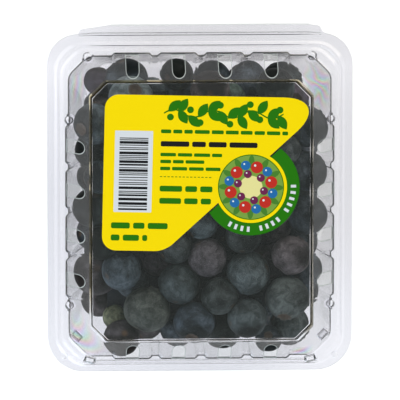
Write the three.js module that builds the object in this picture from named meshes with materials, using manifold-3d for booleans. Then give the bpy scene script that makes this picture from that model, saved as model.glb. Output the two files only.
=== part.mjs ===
import * as THREE from "three";
import { mergeVertices } from "three/addons/utils/BufferGeometryUtils.js";
import Module from "manifold-3d";

// A clear hinged clamshell punnet filled with blueberries, shut and lying on its base.
// Millimetres, +Z up through the lid, the hinge on the +Y side, the front lip on the -Y side.
// The origin is the middle of the whole pack on the surface it stands on.

const wasm = await Module();
wasm.setup();

// Pack
const packWidth = 122;
const packLength = 140.3; // from the front lip to the fold of the hinge
const tabReach = 4.1; // the hinge tab behind the flange
const hingeHeight = 37; // the plane between the two flanges
const sheet = 0.6; // wall thickness of the formed plastic
const flangeGap = 0.3; // between lid and tray flanges
const hingeSetback = 0.15; // each half tab stops short of the fold
const smallestDetail = 0.005; // anything finer is smoothed away
const tabFoldHalf = 44; // half the length of the fold
const tabEndHalf = 48;
const tabEndReach = 2.2; // how far the sloped ends stand behind the flange
const tabRootHalf = 51;
const tabRootDepth = 1.5; // how deep the tab is sunk into the flange

// Rounded corners: each is a straight cut between two small bends
const cornerShrink = 0.6; // how fast a corner's cut shrinks with its outline
const smallestBend = 0.5;
const cornerSteps = 3;

// Flange and the raised bead round it
const lipWidth = 3.6;
const beadSlope = 0.9;
const beadHeight = 1.2;
const flangeCornerBack = 12.5;
const flangeCornerFront = 14.5;

// Lid dome
const domeHeight = 15; // above the flange
const domeRun = 9.3; // how far its walls lean in
const ribFootHalfWidth = 52.6;
const ribFootFront = 62; // from the flange's middle
const ribFootBack = 59.5;
const footCornerCut = 9.5;
const plateauCornerCut = 7;
const footBend = 2.5;
const plateauBend = 2;
const rimWidth = 1.4; // round the sunk label panel
const panelDepth = 0.9;
const panelRun = 0.5;

// Pockets between the ribs of the walls, four on a side, each with a vent slot in the lid
const pocketsOnSide = 4;
const pocketDepth = 1.1;
const pocketFlat = 13.2;
const pocketRamp = 1;
const pocketPitchAcross = 18.4; // along the front and the back
const pocketPitchAlong = 17.7; // along the two long sides
const alongShift = -1.9; // the long sides' row sits nearer the front
const slotWidth = 5.4;
const slotFootMargin = 0.5;
const slotTopMargin = 2;
const slotSteps = 5;

// Tray
const floorInset = 7.4; // how far the tray's walls lean in from the rib foot
const floorCorner = 10;
const floorBend = 6;
const floorPocketDepth = 0.7; // the pockets fade towards the floor
const heelHeight = 2.4;
const heelRun = 2.2;
const footWidth = 5;
const floorRise = 1.6;
const drainLength = 12;
const drainWidth = 4;
const drainAcross = 24;
const drainAlong = 23.6;
const drainRows = 4;

// Stacking lugs and snap buttons that stand on the lid's flange: x, y from the flange's
// middle, radius, height. Each has a twin across the pack.
const lidLugs = [
  [44.7, 59, 2.5, 2.6],
  [48.9, -53.5, 2.2, 2.6],
  [44.1, -62.6, 2.2, 2.6],
  [52, 33.9, 2.8, 2.6],
  [52, -41, 2.8, 2.6],
  [54.5, -62.2, 1.6, 0.2],
];
const lugTaper = 0.8;
const lugSides = 10;

// Label, from its sharp top left corner before it is turned
const labelTop = 90.7;
const labelBottom = 25.1;
const labelDrop = 62.6;
const labelSmallCorner = 5.6;
const labelNoseCorner = 7.9;
const labelBlendCorner = 10;
const emblemRadius = 19.4;
const emblemAcross = 58.8;
const emblemDown = 36.2;
const labelCorner = new THREE.Vector2(-38.2, 44);
const labelTilt = THREE.MathUtils.degToRad(-1.4);
const labelThickness = 0.3;
const labelGap = 0.3;
const labelSteps = 6;
const emblemSteps = 36;

// Berries
const berryClearance = 0.2; // from the plastic
const freeBerries = 120;
const smallestBerry = 12.5;
const largestBerry = 17.5;
const settleSteps = 260;
const settleDrop = 0.03;
const topOverlap = 0.86; // how near two named berries may be, in parts of touching
const mostSqueeze = 2.2;
const insideCorner = 12;
const randomSeed = 20715;
const skinDepth = 11; // berries whose centre lies deeper than this do not show
const roundBerryHeight = 34; // berries above this one get more sides
const coreInset = 8.5;
const coreDepth = 15; // how deep the core's top lies under the lid

// The berries that show through the lid, from the uppermost down: x, y, diameter
const topBerries = [
  [-21.3, -44.3, 18.8],
  [-31.7, -28.3, 16.2],
  [19.1, -29.7, 17.6],
  [34.7, -40, 17.6],
  [36.3, -22.6, 16],
  [18.7, -47.9, 16],
  [-8.5, -33.9, 16.8],
  [-2.5, -49.5, 16.8],
  [2.7, -23.1, 15.6],
  [-10.5, -18.3, 14.8],
  [17.1, -14.5, 14.4],
  [27.6, -58.3, 10.8],
  [7.7, -38.8, 15.2],
  [36.3, -53.6, 16],
  [-31.5, -56.8, 14.4],
  [-42.1, 30.2, 16.4],
  [-42.5, -3.6, 16.4],
  [-41.3, -30.9, 18],
  [43.1, 28.4, 16.4],
  [42.7, 10.6, 16],
  [43.1, -7.2, 15.8],
  [-27.7, 41.2, 17.6],
  [3.9, 44.3, 15.6],
  [11.5, 39.2, 14.4],
  [29.9, 45.1, 15.6],
  [36.3, 39.2, 15.2],
  [-4.9, 43.9, 16],
  [20, 46.6, 14.4],
  [-30.1, 46.5, 16.8],
  [33.8, 44.2, 16.8],
  [-41.2, 46.4, 11.2],
  [-41, 18, 16],
  [-41.3, 8.6, 14.8],
  [-41.7, -14.9, 15.2],
  [41.9, -29.4, 14.4],
  [-37.7, -43.2, 15.6],
  [-33.3, -49.4, 12],
  [5.5, 47.1, 15.2],
  [-8.9, 46.7, 16.8],
];

// Flange middle in Y, and the plastic's heights
const middleY = -(tabReach - hingeSetback) / 2;
const flangeHalfLength = (packLength - tabReach) / 2;
const lidUnderside = hingeHeight + flangeGap / 2;
const lidFlangeTop = lidUnderside + sheet;
const plateauTop = lidFlangeTop + domeHeight;
const panelTop = plateauTop - panelDepth;
const trayFlangeTop = hingeHeight - flangeGap / 2;
const trayUnderside = trayFlangeTop - sheet;

const clearPlastic = { color: 0xdfe6ea, roughness: 0.08, metalness: 0, transparent: true, opacity: 0.3 };
const berrySkin = { color: 0x2b3550, roughness: 0.6, metalness: 0 };
const labelPaper = { color: 0xfbdc08, roughness: 0.5, metalness: 0 };

// A level is one rounded rectangle: half width, reach to the front and to the back, and its
// four corners, each two small bends with a straight cut between them.
function level(halfWidth, front, back, cutFront, cutBack, bend) {
  return { halfWidth, front, back, cutFront, cutBack, bend };
}

function inset(shape, distance) {
  return level(
    shape.halfWidth - distance,
    shape.front - distance,
    shape.back - distance,
    shape.cutFront - distance * cornerShrink,
    shape.cutBack - distance * cornerShrink,
    Math.max(shape.bend - distance, smallestBend),
  );
}

// Stations along one side, across its pockets. The pockets stand out by depth. A side too
// short for them has them closer together.
function sideStations(pitch, shift, depth, halfStraight) {
  const stations = [];
  const half = pocketFlat / 2 + pocketRamp;
  const outermost = Math.abs(shift) + ((pocketsOnSide - 1) / 2) * pitch + half;
  const squeeze = Math.min(1, (halfStraight - smallestBend) / outermost);
  for (let index = 0; index < pocketsOnSide; index += 1) {
    const centre = shift + (index - (pocketsOnSide - 1) / 2) * pitch;
    stations.push([(centre - half) * squeeze, 0]);
    stations.push([(centre - half + pocketRamp) * squeeze, depth]);
    stations.push([(centre + half - pocketRamp) * squeeze, depth]);
    stations.push([(centre + half) * squeeze, 0]);
  }
  return stations;
}

// One corner, walked anticlockwise: outward along the first side, then along the second
function cornerPoints(corner, along, outward, cut, bend) {
  const points = [];
  const radius = Math.min(bend, cut);
  const firstCentre = corner.clone().addScaledVector(along, -cut).addScaledVector(outward, -radius);
  const secondCentre = corner.clone().addScaledVector(outward, -cut).addScaledVector(along, -radius);
  for (const [centre, start] of [[firstCentre, 0], [secondCentre, Math.PI / 4]]) {
    for (let step = 0; step < cornerSteps; step += 1) {
      const angle = start + (step / (cornerSteps - 1)) * (Math.PI / 4);
      const point = centre.clone();
      point.addScaledVector(outward, radius * Math.cos(angle));
      point.addScaledVector(along, radius * Math.sin(angle));
      points.push(point);
    }
  }
  return points;
}

// One closed ring of the level's outline, always with the same number of points
function ring(shape, height, depth = 0) {
  const right = new THREE.Vector2(1, 0);
  const back = new THREE.Vector2(0, 1);
  const left = new THREE.Vector2(-1, 0);
  const front = new THREE.Vector2(0, -1);
  const sides = [
    { outward: right, along: back, reach: shape.halfWidth, end: shape.back, cut: shape.cutBack },
    { outward: back, along: left, reach: shape.back, end: shape.halfWidth, cut: shape.cutBack },
    { outward: left, along: front, reach: shape.halfWidth, end: shape.front, cut: shape.cutFront },
    { outward: front, along: right, reach: shape.front, end: shape.halfWidth, cut: shape.cutFront },
  ];
  const points = [];
  sides.forEach((side, index) => {
    const isLong = index % 2 === 0;
    const shift = isLong ? alongShift * side.along.y : 0;
    const pitch = isLong ? pocketPitchAlong : pocketPitchAcross;
    const frontStraight = (isLong ? shape.front : shape.halfWidth) - shape.cutFront;
    const backStraight = (isLong ? shape.back : shape.halfWidth) - shape.cutBack;
    const halfStraight = Math.min(frontStraight, backStraight);
    for (const [station, bulge] of sideStations(pitch, shift, depth, halfStraight)) {
      const point = side.outward.clone().multiplyScalar(side.reach + bulge);
      points.push(point.addScaledVector(side.along, station));
    }
    const corner = side.outward.clone().multiplyScalar(side.reach).addScaledVector(side.along, side.end);
    points.push(...cornerPoints(corner, side.along, side.outward, side.cut, shape.bend));
  });
  return points.map((point) => new THREE.Vector3(point.x, point.y + middleY, height));
}

// A closed body through rings listed from its lower cap to its upper cap
function stackRings(rings) {
  const positions = [];
  const indices = [];
  const count = rings[0].length;
  rings.flat().forEach((point) => positions.push(point.x, point.y, point.z));
  for (let level = 0; level < rings.length - 1; level += 1) {
    for (let index = 0; index < count; index += 1) {
      const next = (index + 1) % count;
      const lower = level * count;
      const upper = lower + count;
      indices.push(lower + index, lower + next, upper + next);
      indices.push(lower + index, upper + next, upper + index);
    }
  }
  const caps = [[rings[0], 0, true], [rings[rings.length - 1], (rings.length - 1) * count, false]];
  for (const [cap, first, facesDown] of caps) {
    const centre = positions.length / 3;
    positions.push(0, middleY, cap[0].z);
    for (let index = 0; index < count; index += 1) {
      const next = (index + 1) % count;
      const pair = facesDown ? [next, index] : [index, next];
      indices.push(centre, first + pair[0], first + pair[1]);
    }
  }
  const geometry = new THREE.BufferGeometry();
  geometry.setAttribute("position", new THREE.Float32BufferAttribute(positions, 3));
  geometry.setIndex(indices);
  return toSolid(geometry);
}

function toSolid(geometry) {
  const bare = geometry.clone();
  bare.deleteAttribute("normal");
  bare.deleteAttribute("uv");
  const merged = mergeVertices(bare, 1e-4);
  return new wasm.Manifold(
    new wasm.Mesh({
      numProp: 3,
      vertProperties: new Float32Array(merged.attributes.position.array),
      triVerts: new Uint32Array(merged.index.array),
    }),
  );
}

function toMesh(name, solid, look) {
  const cut = solid.simplify(smallestDetail).getMesh();
  const geometry = new THREE.BufferGeometry();
  geometry.setAttribute("position", new THREE.BufferAttribute(new Float32Array(cut.vertProperties), 3));
  geometry.setIndex(new THREE.BufferAttribute(new Uint32Array(cut.triVerts), 1));
  const mesh = new THREE.Mesh(geometry, new THREE.MeshStandardMaterial(look));
  mesh.name = name;
  return mesh;
}

// Levels shared by the lid and the tray
const lip = level(
  packWidth / 2,
  flangeHalfLength,
  flangeHalfLength,
  flangeCornerFront,
  flangeCornerBack,
  flangeCornerFront,
);
const beadFoot = inset(lip, lipWidth);
const beadCrest = inset(lip, lipWidth + beadSlope);
const ribFoot = level(
  ribFootHalfWidth,
  ribFootFront,
  ribFootBack,
  footCornerCut,
  footCornerCut,
  footBend,
);
const plateauEdge = level(
  ribFootHalfWidth + pocketDepth - domeRun,
  ribFootFront + pocketDepth - domeRun,
  ribFootBack + pocketDepth - domeRun,
  plateauCornerCut,
  plateauCornerCut,
  plateauBend,
);
const rimInside = inset(plateauEdge, rimWidth);
const panelEdge = inset(plateauEdge, rimWidth + panelRun);

// How far a leaning wall's inner face stands in from its outer face, level for level
const domeLean = domeRun / domeHeight;
const domeWallInset = sheet * Math.sqrt(1 + domeLean * domeLean);

// A flat tab behind the flange, its ends sloped
function hingeTab(bottom) {
  const root = flangeHalfLength - tabRootDepth;
  const fold = flangeHalfLength + tabReach - hingeSetback;
  const end = flangeHalfLength + tabEndReach;
  const outline = new THREE.Shape([
    new THREE.Vector2(-tabFoldHalf, root),
    new THREE.Vector2(tabFoldHalf, root),
    new THREE.Vector2(tabRootHalf, flangeHalfLength - sheet),
    new THREE.Vector2(tabEndHalf, end),
    new THREE.Vector2(tabFoldHalf, fold),
    new THREE.Vector2(-tabFoldHalf, fold),
    new THREE.Vector2(-tabEndHalf, end),
    new THREE.Vector2(-tabRootHalf, flangeHalfLength - sheet),
  ]);
  const geometry = new THREE.ExtrudeGeometry(outline, { depth: sheet, bevelEnabled: false });
  return toSolid(geometry.translate(0, middleY, bottom));
}

// A lug or a snap button, sunk a little into the flange
function lug(x, y, radius, height) {
  const tall = sheet / 2 + beadHeight + height;
  const geometry = new THREE.CylinderGeometry(radius * lugTaper, radius, tall, lugSides);
  geometry.rotateX(Math.PI / 2);
  return toSolid(geometry.translate(x, y + middleY, lidFlangeTop - sheet / 2 + tall / 2));
}

// A vent slot seen from above: square at the wall's foot, round at its upper end
function ventSlot(side, offset) {
  const reach = [
    ribFootHalfWidth,
    ribFootBack,
    ribFootHalfWidth,
    ribFootFront,
  ][side] + pocketDepth;
  const foot = reach - slotFootMargin;
  const half = slotWidth / 2;
  const top = reach - domeRun + slotTopMargin + half;
  const outline = new THREE.Shape();
  outline.moveTo(foot, half);
  outline.lineTo(top, half);
  outline.absarc(top, 0, half, Math.PI / 2, -Math.PI / 2, false);
  outline.lineTo(foot, -half);
  const geometry = new THREE.ExtrudeGeometry(outline, {
    depth: domeHeight,
    bevelEnabled: false,
    curveSegments: slotSteps,
  });
  geometry.translate(0, offset, lidFlangeTop + beadHeight + slotFootMargin / 4);
  geometry.rotateZ((side * Math.PI) / 2);
  return toSolid(geometry.translate(0, middleY, 0));
}

function buildLid() {
  const cavityBead = inset(beadFoot, sheet * 0.5);
  const cavityCrest = inset(beadCrest, sheet * 0.5);
  let lid = stackRings([
    ring(lip, lidUnderside),
    ring(lip, lidFlangeTop),
    ring(beadFoot, lidFlangeTop),
    ring(beadCrest, lidFlangeTop + beadHeight),
    ring(ribFoot, lidFlangeTop + beadHeight, pocketDepth),
    ring(plateauEdge, plateauTop),
    ring(rimInside, plateauTop),
    ring(panelEdge, panelTop),
  ]);
  lid = lid.add(hingeTab(lidUnderside));
  for (const [x, y, radius, height] of lidLugs) {
    lid = lid.add(lug(x, y, radius, height));
    lid = lid.add(lug(-x, y, radius, height));
  }
  const cavity = stackRings([
    ring(cavityBead, lidUnderside - 1),
    ring(cavityBead, lidUnderside),
    ring(cavityCrest, lidUnderside + beadHeight),
    ring(inset(ribFoot, domeWallInset), lidUnderside + beadHeight, pocketDepth),
    ring(inset(plateauEdge, domeWallInset), plateauTop - sheet - panelDepth),
    ring(inset(panelEdge, sheet), panelTop - sheet),
  ]);
  lid = lid.subtract(cavity);
  for (let side = 0; side < 4; side += 1) {
    const isLong = side % 2 === 0;
    const pitch = isLong ? pocketPitchAlong : pocketPitchAcross;
    const turn = side === 0 ? 1 : -1;
    for (let index = 0; index < pocketsOnSide; index += 1) {
      const along = (index - (pocketsOnSide - 1) / 2) * pitch;
      lid = lid.subtract(ventSlot(side, along + (isLong ? alongShift * turn : 0)));
    }
  }
  return lid;
}

// Tray levels, from the mouth down
const mouth = inset(ribFoot, domeWallInset);
const wallFoot = level(
  ribFoot.halfWidth - floorInset,
  ribFoot.front - floorInset,
  ribFoot.back - floorInset,
  floorCorner,
  floorCorner,
  floorBend,
);
const heel = inset(wallFoot, heelRun);
const footInside = inset(heel, footWidth);
const floorEdge = inset(footInside, floorRise);

// A slot right through the floor
function drain(x, y) {
  const box = new THREE.BoxGeometry(drainWidth, drainLength, floorRise + sheet + heelHeight);
  return toSolid(box.translate(x, y + middleY, floorRise));
}

function buildTray() {
  const beadHigh = trayFlangeTop + beadHeight - flangeGap;
  let tray = stackRings([
    ring(floorEdge, floorRise),
    ring(footInside, 0),
    ring(heel, 0),
    ring(wallFoot, heelHeight, floorPocketDepth),
    ring(ribFoot, trayUnderside, pocketDepth),
    ring(lip, trayUnderside),
    ring(lip, trayFlangeTop),
    ring(inset(beadFoot, sheet), trayFlangeTop),
    ring(inset(beadCrest, sheet), beadHigh),
  ]);
  tray = tray.add(hingeTab(trayUnderside));
  const cavity = stackRings([
    ring(inset(floorEdge, sheet * 0.4), floorRise + sheet),
    ring(inset(footInside, -sheet * 0.4), sheet),
    ring(inset(heel, sheet * 0.4), sheet),
    ring(inset(wallFoot, sheet), heelHeight + sheet * 0.4, floorPocketDepth),
    ring(mouth, beadHigh - sheet, pocketDepth),
    ring(mouth, beadHigh + 1, pocketDepth),
  ]);
  tray = tray.subtract(cavity);
  for (const x of [-drainAcross, drainAcross]) {
    for (let row = 0; row < drainRows; row += 1) {
      tray = tray.subtract(drain(x, (row - (drainRows - 1) / 2) * drainAlong));
    }
  }
  return tray;
}

function buildLabel() {
  const sharp = [
    [new THREE.Vector2(0, 0), labelSmallCorner],
    [new THREE.Vector2(0, -labelDrop), labelSmallCorner],
    [new THREE.Vector2(labelBottom, -labelDrop), labelBlendCorner],
    [new THREE.Vector2(labelTop, 0), labelNoseCorner],
  ];
  const outline = new THREE.Shape();
  sharp.forEach(([corner, radius], index) => {
    const before = sharp[(index + sharp.length - 1) % sharp.length][0].clone().sub(corner).normalize();
    const after = sharp[(index + 1) % sharp.length][0].clone().sub(corner).normalize();
    const half = Math.acos(before.dot(after)) / 2;
    const tangent = radius / Math.tan(half);
    const middle = before.clone().add(after).normalize();
    const centre = corner.clone().addScaledVector(middle, radius / Math.sin(half));
    const start = corner.clone().addScaledVector(before, tangent).sub(centre);
    const end = corner.clone().addScaledVector(after, tangent).sub(centre);
    outline.absarc(centre.x, centre.y, radius, start.angle(), end.angle(), false);
  });
  const emblem = new THREE.Shape();
  emblem.absarc(emblemAcross, -emblemDown, emblemRadius, 0, Math.PI * 2, false);
  const settings = { depth: labelThickness, bevelEnabled: false, curveSegments: labelSteps };
  const round = { depth: labelThickness, bevelEnabled: false, curveSegments: emblemSteps };
  const field = toSolid(new THREE.ExtrudeGeometry(outline, settings));
  const disc = toSolid(new THREE.ExtrudeGeometry(emblem, round));
  const degrees = THREE.MathUtils.radToDeg(labelTilt);
  return field.add(disc).rotate([0, 0, degrees])
    .translate([labelCorner.x, labelCorner.y, panelTop + labelGap]);
}

// The inside of the shut pack, as straight leaning walls. Each limit is what a ball of the
// given radius may reach from the flange's middle at the given height.
const insideFloor = floorRise + sheet + berryClearance;
const insideTop = panelTop - sheet - berryClearance;
const trayLean = floorInset / (trayUnderside - heelHeight);
const lidLean = domeRun / (domeHeight - beadHeight);
const trayGrip = Math.sqrt(1 + trayLean * trayLean);
const lidGrip = Math.sqrt(1 + lidLean * lidLean);

function wallLimit(reachAtFoot, height, radius) {
  const room = reachAtFoot - domeWallInset - berryClearance;
  const byTray = room - (hingeHeight - height) * trayLean - radius * trayGrip;
  const byLid = room - (height - lidFlangeTop - beadHeight) * lidLean - radius * lidGrip;
  return Math.min(byTray, byLid);
}

// Moves a berry inside the pack
function keepInside(berry) {
  berry.z = Math.max(berry.z, insideFloor + berry.radius);
  berry.z = Math.min(berry.z, insideTop - berry.radius);
  const across = wallLimit(ribFootHalfWidth, berry.z, berry.radius);
  const front = wallLimit(ribFootFront, berry.z, berry.radius);
  const back = wallLimit(ribFootBack, berry.z, berry.radius);
  berry.x = Math.max(-across, Math.min(across, berry.x));
  berry.y = Math.max(middleY - front, Math.min(middleY + back, berry.y));
  // Corners: the berry's centre stays in a rounded rectangle
  const bend = insideCorner - berry.radius * 0.5;
  const cornerX = across - bend;
  const cornerY = berry.y > middleY ? middleY + back - bend : middleY - front + bend;
  const beyondX = Math.abs(berry.x) - cornerX;
  const beyondY = Math.abs(berry.y - middleY) - Math.abs(cornerY - middleY);
  if (beyondX > 0 && beyondY > 0) {
    const beyond = Math.sqrt(beyondX * beyondX + beyondY * beyondY);
    if (beyond > bend) {
      berry.x = (berry.x > 0 ? 1 : -1) * (cornerX + (beyondX * bend) / beyond);
      const offset = Math.abs(cornerY - middleY) + (beyondY * bend) / beyond;
      berry.y = middleY + (berry.y > middleY ? 1 : -1) * offset;
    }
  }
}

// Park and Miller's generator, so that the heap is the same every time
let randomState = randomSeed;
function random() {
  randomState = (randomState * 16807) % 2147483647;
  return randomState / 2147483647;
}

// The height at which a ball that far from the middle touches the leaning lid wall
function wallCeiling(reachAtFoot, offset, radius) {
  const room = reachAtFoot - domeWallInset - berryClearance;
  return lidFlangeTop + beadHeight + (room - radius * lidGrip - offset) / lidLean;
}

function ceilingFor(berry) {
  return Math.min(
    insideTop - berry.radius,
    wallCeiling(ribFootHalfWidth, Math.abs(berry.x), berry.radius),
    wallCeiling(ribFootFront, middleY - berry.y, berry.radius),
    wallCeiling(ribFootBack, berry.y - middleY, berry.radius),
  );
}

// The named berries hang under the lid, each as high as those before it allow
function placeTopBerries() {
  const placed = [];
  for (const [x, y, diameter] of topBerries) {
    const berry = { x, y, z: 0, radius: diameter / 2, isNamed: true };
    berry.z = ceilingFor(berry);
    for (const other of placed) {
      const reach = (berry.radius + other.radius) * topOverlap;
      const gapX = berry.x - other.x;
      const gapY = berry.y - other.y;
      const across = gapX * gapX + gapY * gapY;
      if (across < reach * reach) {
        berry.z = Math.min(berry.z, other.z - Math.sqrt(reach * reach - across));
      }
    }
    keepInside(berry);
    placed.push(berry);
  }
  return placed;
}

// The rest start scattered and are pushed apart until they lie as a heap. The named ones
// stay where they are.
function heapBerries() {
  const berries = placeTopBerries();
  for (let index = 0; index < freeBerries; index += 1) {
    const size = smallestBerry + (largestBerry - smallestBerry) * (random() + random()) / 2;
    const berry = { x: 0, y: 0, z: 0, radius: size / 2, isNamed: false };
    berry.x = (random() * 2 - 1) * ribFootHalfWidth;
    berry.y = middleY + (random() * 2 - 1) * ribFootBack;
    berry.z = insideFloor + random() * (insideTop - insideFloor);
    keepInside(berry);
    berries.push(berry);
  }
  for (let step = 0; step < settleSteps; step += 1) {
    for (let first = 0; first < berries.length; first += 1) {
      for (let second = first + 1; second < berries.length; second += 1) {
        pushApart(berries[first], berries[second]);
      }
    }
    for (const berry of berries) {
      if (!berry.isNamed) {
        berry.z -= settleDrop;
        keepInside(berry);
      }
    }
  }
  return berries.filter((berry, index) => berry.isNamed || isFree(berry, berries, index));
}

function pushApart(one, other) {
  if (one.isNamed && other.isNamed) {
    return;
  }
  const gapX = other.x - one.x;
  const gapY = other.y - one.y;
  const gapZ = other.z - one.z;
  const reach = one.radius + other.radius;
  const distance2 = gapX * gapX + gapY * gapY + gapZ * gapZ;
  if (distance2 >= reach * reach) {
    return;
  }
  const distance = Math.sqrt(distance2) + 0.001;
  const push = (reach - distance) / distance;
  const share = one.isNamed ? 0 : 0.5;
  one.x -= gapX * push * share;
  one.y -= gapY * push * share;
  one.z -= gapZ * push * share;
  other.x += gapX * push * (1 - share);
  other.y += gapY * push * (1 - share);
  other.z += gapZ * push * (1 - share);
}

// A scattered berry that is still squeezed into another one is left out
function isFree(berry, berries, index) {
  return berries.every((other, place) => {
    if (place >= index) {
      return true;
    }
    const gapX = berry.x - other.x;
    const gapY = berry.y - other.y;
    const gapZ = berry.z - other.z;
    const reach = berry.radius + other.radius - mostSqueeze;
    return gapX * gapX + gapY * gapY + gapZ * gapZ > reach * reach;
  });
}

// How deep a berry's centre lies under the heap's nearest face
function depthInHeap(berry) {
  const across = wallLimit(ribFootHalfWidth, berry.z, 0) - Math.abs(berry.x);
  const front = berry.y - middleY + wallLimit(ribFootFront, berry.z, 0);
  const back = wallLimit(ribFootBack, berry.z, 0) - (berry.y - middleY);
  return Math.min(across, front, back, insideTop - berry.z, berry.z - insideFloor);
}

function buildBerries() {
  const coreFloor = insideFloor + coreInset;
  const coreTop = insideTop - coreDepth;
  let heap = stackRings([
    ring(inset(wallFoot, coreInset), coreFloor),
    ring(inset(mouth, coreInset), coreTop),
  ]);
  for (const berry of heapBerries()) {
    if (!berry.isNamed && depthInHeap(berry) > skinDepth) {
      continue;
    }
    const ball = berry.isNamed || berry.z > roundBerryHeight
      ? new THREE.IcosahedronGeometry(berry.radius, 1)
      : new THREE.DodecahedronGeometry(berry.radius, 0);
    ball.rotateY(random() * Math.PI);
    ball.translate(berry.x, berry.y, berry.z);
    heap = heap.add(toSolid(ball));
  }
  return largestShell(heap);
}

// The outer shell alone: sealed hollows and loose scraps are dropped
function largestShell(solid) {
  const shells = solid.decompose();
  return shells.reduce((best, shell) => (shell.volume() > best.volume() ? shell : best));
}

const punnet = new THREE.Group();
punnet.name = "punnet";
punnet.add(toMesh("tray", buildTray(), clearPlastic));
punnet.add(toMesh("lid", buildLid(), clearPlastic));
punnet.add(toMesh("label", buildLabel(), labelPaper));
punnet.add(toMesh("berries", buildBerries(), berrySkin));

export default punnet;
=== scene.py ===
import math
import random

import bmesh
import bpy
from mathutils import Matrix, Vector, noise


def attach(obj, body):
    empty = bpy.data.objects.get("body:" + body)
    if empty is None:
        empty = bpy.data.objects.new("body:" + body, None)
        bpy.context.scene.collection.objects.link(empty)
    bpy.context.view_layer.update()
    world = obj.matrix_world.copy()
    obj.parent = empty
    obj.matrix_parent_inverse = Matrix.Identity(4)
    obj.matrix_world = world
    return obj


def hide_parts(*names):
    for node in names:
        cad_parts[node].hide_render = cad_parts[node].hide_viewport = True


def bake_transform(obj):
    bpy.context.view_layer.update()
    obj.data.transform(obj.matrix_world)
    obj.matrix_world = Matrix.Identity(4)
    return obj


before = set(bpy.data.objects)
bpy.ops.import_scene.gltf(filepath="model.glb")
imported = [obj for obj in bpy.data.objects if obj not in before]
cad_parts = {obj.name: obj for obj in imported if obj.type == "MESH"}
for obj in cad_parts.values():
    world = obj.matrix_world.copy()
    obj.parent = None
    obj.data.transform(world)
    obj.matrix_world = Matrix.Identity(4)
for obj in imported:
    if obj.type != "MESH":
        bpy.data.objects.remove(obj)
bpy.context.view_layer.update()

mm = 0.001
scene = bpy.context.scene
scene.view_settings.view_transform = "Standard"
print("frame loaded:", sorted(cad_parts))

weld = 1e-6  # points nearer than this, in metres, are one
nearZero = 1e-7  # in metres
smoothUpTo = 35  # degrees between faces that still shade as one surface


def newObject(name, bm, material, smoothAngle=smoothUpTo):
    bmesh.ops.remove_doubles(bm, verts=bm.verts, dist=weld)
    mesh = bpy.data.meshes.new(name)
    bm.to_mesh(mesh)
    bm.free()
    if smoothAngle is not None:
        mesh.shade_smooth()
        mesh.set_sharp_from_angle(angle=math.radians(smoothAngle))
    mesh.materials.append(material)
    obj = bpy.data.objects.new(name, mesh)
    scene.collection.objects.link(obj)
    return obj


def bakeModifiers(obj):
    graph = bpy.context.evaluated_depsgraph_get()
    baked = bpy.data.meshes.new_from_object(obj.evaluated_get(graph))
    old = obj.data
    obj.modifiers.clear()
    obj.data = baked
    bpy.data.meshes.remove(old)
    obj.data.shade_smooth()
    obj.data.set_sharp_from_angle(angle=math.radians(smoothUpTo))


def cutWith(obj, bm, operation="DIFFERENCE"):
    # joins or cuts obj with the shapes in bm
    bmesh.ops.recalc_face_normals(bm, faces=bm.faces)
    toolMesh = bpy.data.meshes.new("tool")
    bm.to_mesh(toolMesh)
    bm.free()
    tool = bpy.data.objects.new("tool", toolMesh)
    scene.collection.objects.link(tool)
    boolean = obj.modifiers.new("cut", "BOOLEAN")
    boolean.operation = operation
    boolean.solver = "EXACT"
    boolean.object = tool
    bakeModifiers(obj)
    bpy.data.objects.remove(tool)
    bpy.data.meshes.remove(toolMesh)


def mergeInto(bm, part):
    # a sub-shape is made in a bmesh of its own, since operators slow down as a mesh grows
    mesh = bpy.data.meshes.new("part")
    part.to_mesh(mesh)
    part.free()
    bm.from_mesh(mesh)
    bpy.data.meshes.remove(mesh)


def smoothStep(value):
    value = min(1.0, max(0.0, value))
    return value * value * (3 - 2 * value)


def scaled(colour, factor=1.0):
    return (*[part * factor for part in colour[:3]], 1)


def uprightEdges(verts):
    return list({e for v in verts for e in v.link_edges if abs(e.verts[0].co.z - e.verts[1].co.z) > weld})


def newMaterial(name):
    material = bpy.data.materials.new(name)
    material.use_nodes = True
    tree = material.node_tree
    tree.nodes.clear()
    output = tree.nodes.new("ShaderNodeOutputMaterial")
    shader = tree.nodes.new("ShaderNodeBsdfPrincipled")
    tree.links.new(shader.outputs["BSDF"], output.inputs["Surface"])
    return material, tree, shader


def addNode(tree, kind, settings=None, **values):
    node = tree.nodes.new("ShaderNode" + kind)
    for name, value in (settings or {}).items():
        setattr(node, name, value)
    for name, value in values.items():
        socket = node.inputs[int(name[1:])] if name[0] == "i" and name[1:].isdigit() else node.inputs[name]
        if isinstance(value, bpy.types.NodeSocket):
            tree.links.new(value, socket)
        else:
            socket.default_value = value
    return node


def mathNode(tree, operation, first, second=0.0, clamp=False, third=0.5):
    # third is what MULTIPLY_ADD adds; 0.5 is the socket's own value
    node = addNode(tree, "Math", {"operation": operation, "use_clamp": clamp}, i0=first, i1=second, i2=third)
    return node.outputs[0]


def rampNode(tree, value, start, end, low=0.0, high=1.0, soft=True):
    # start to end becomes low to high, and holds outside
    limits = {"From Min": start, "From Max": end, "To Min": low, "To Max": high}
    settings = {"interpolation_type": "SMOOTHSTEP" if soft else "LINEAR"}
    return addNode(tree, "MapRange", settings, Value=value, **limits).outputs[0]


def mixColour(tree, factor, first, second, blend="MIX"):
    node = addNode(tree, "Mix", {"data_type": "RGBA", "blend_type": blend})
    for socket, value in zip((node.inputs[0], node.inputs[6], node.inputs[7]), (factor, first, second)):
        if isinstance(value, bpy.types.NodeSocket):
            tree.links.new(value, socket)
        else:
            socket.default_value = value
    return node.outputs[2]


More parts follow.
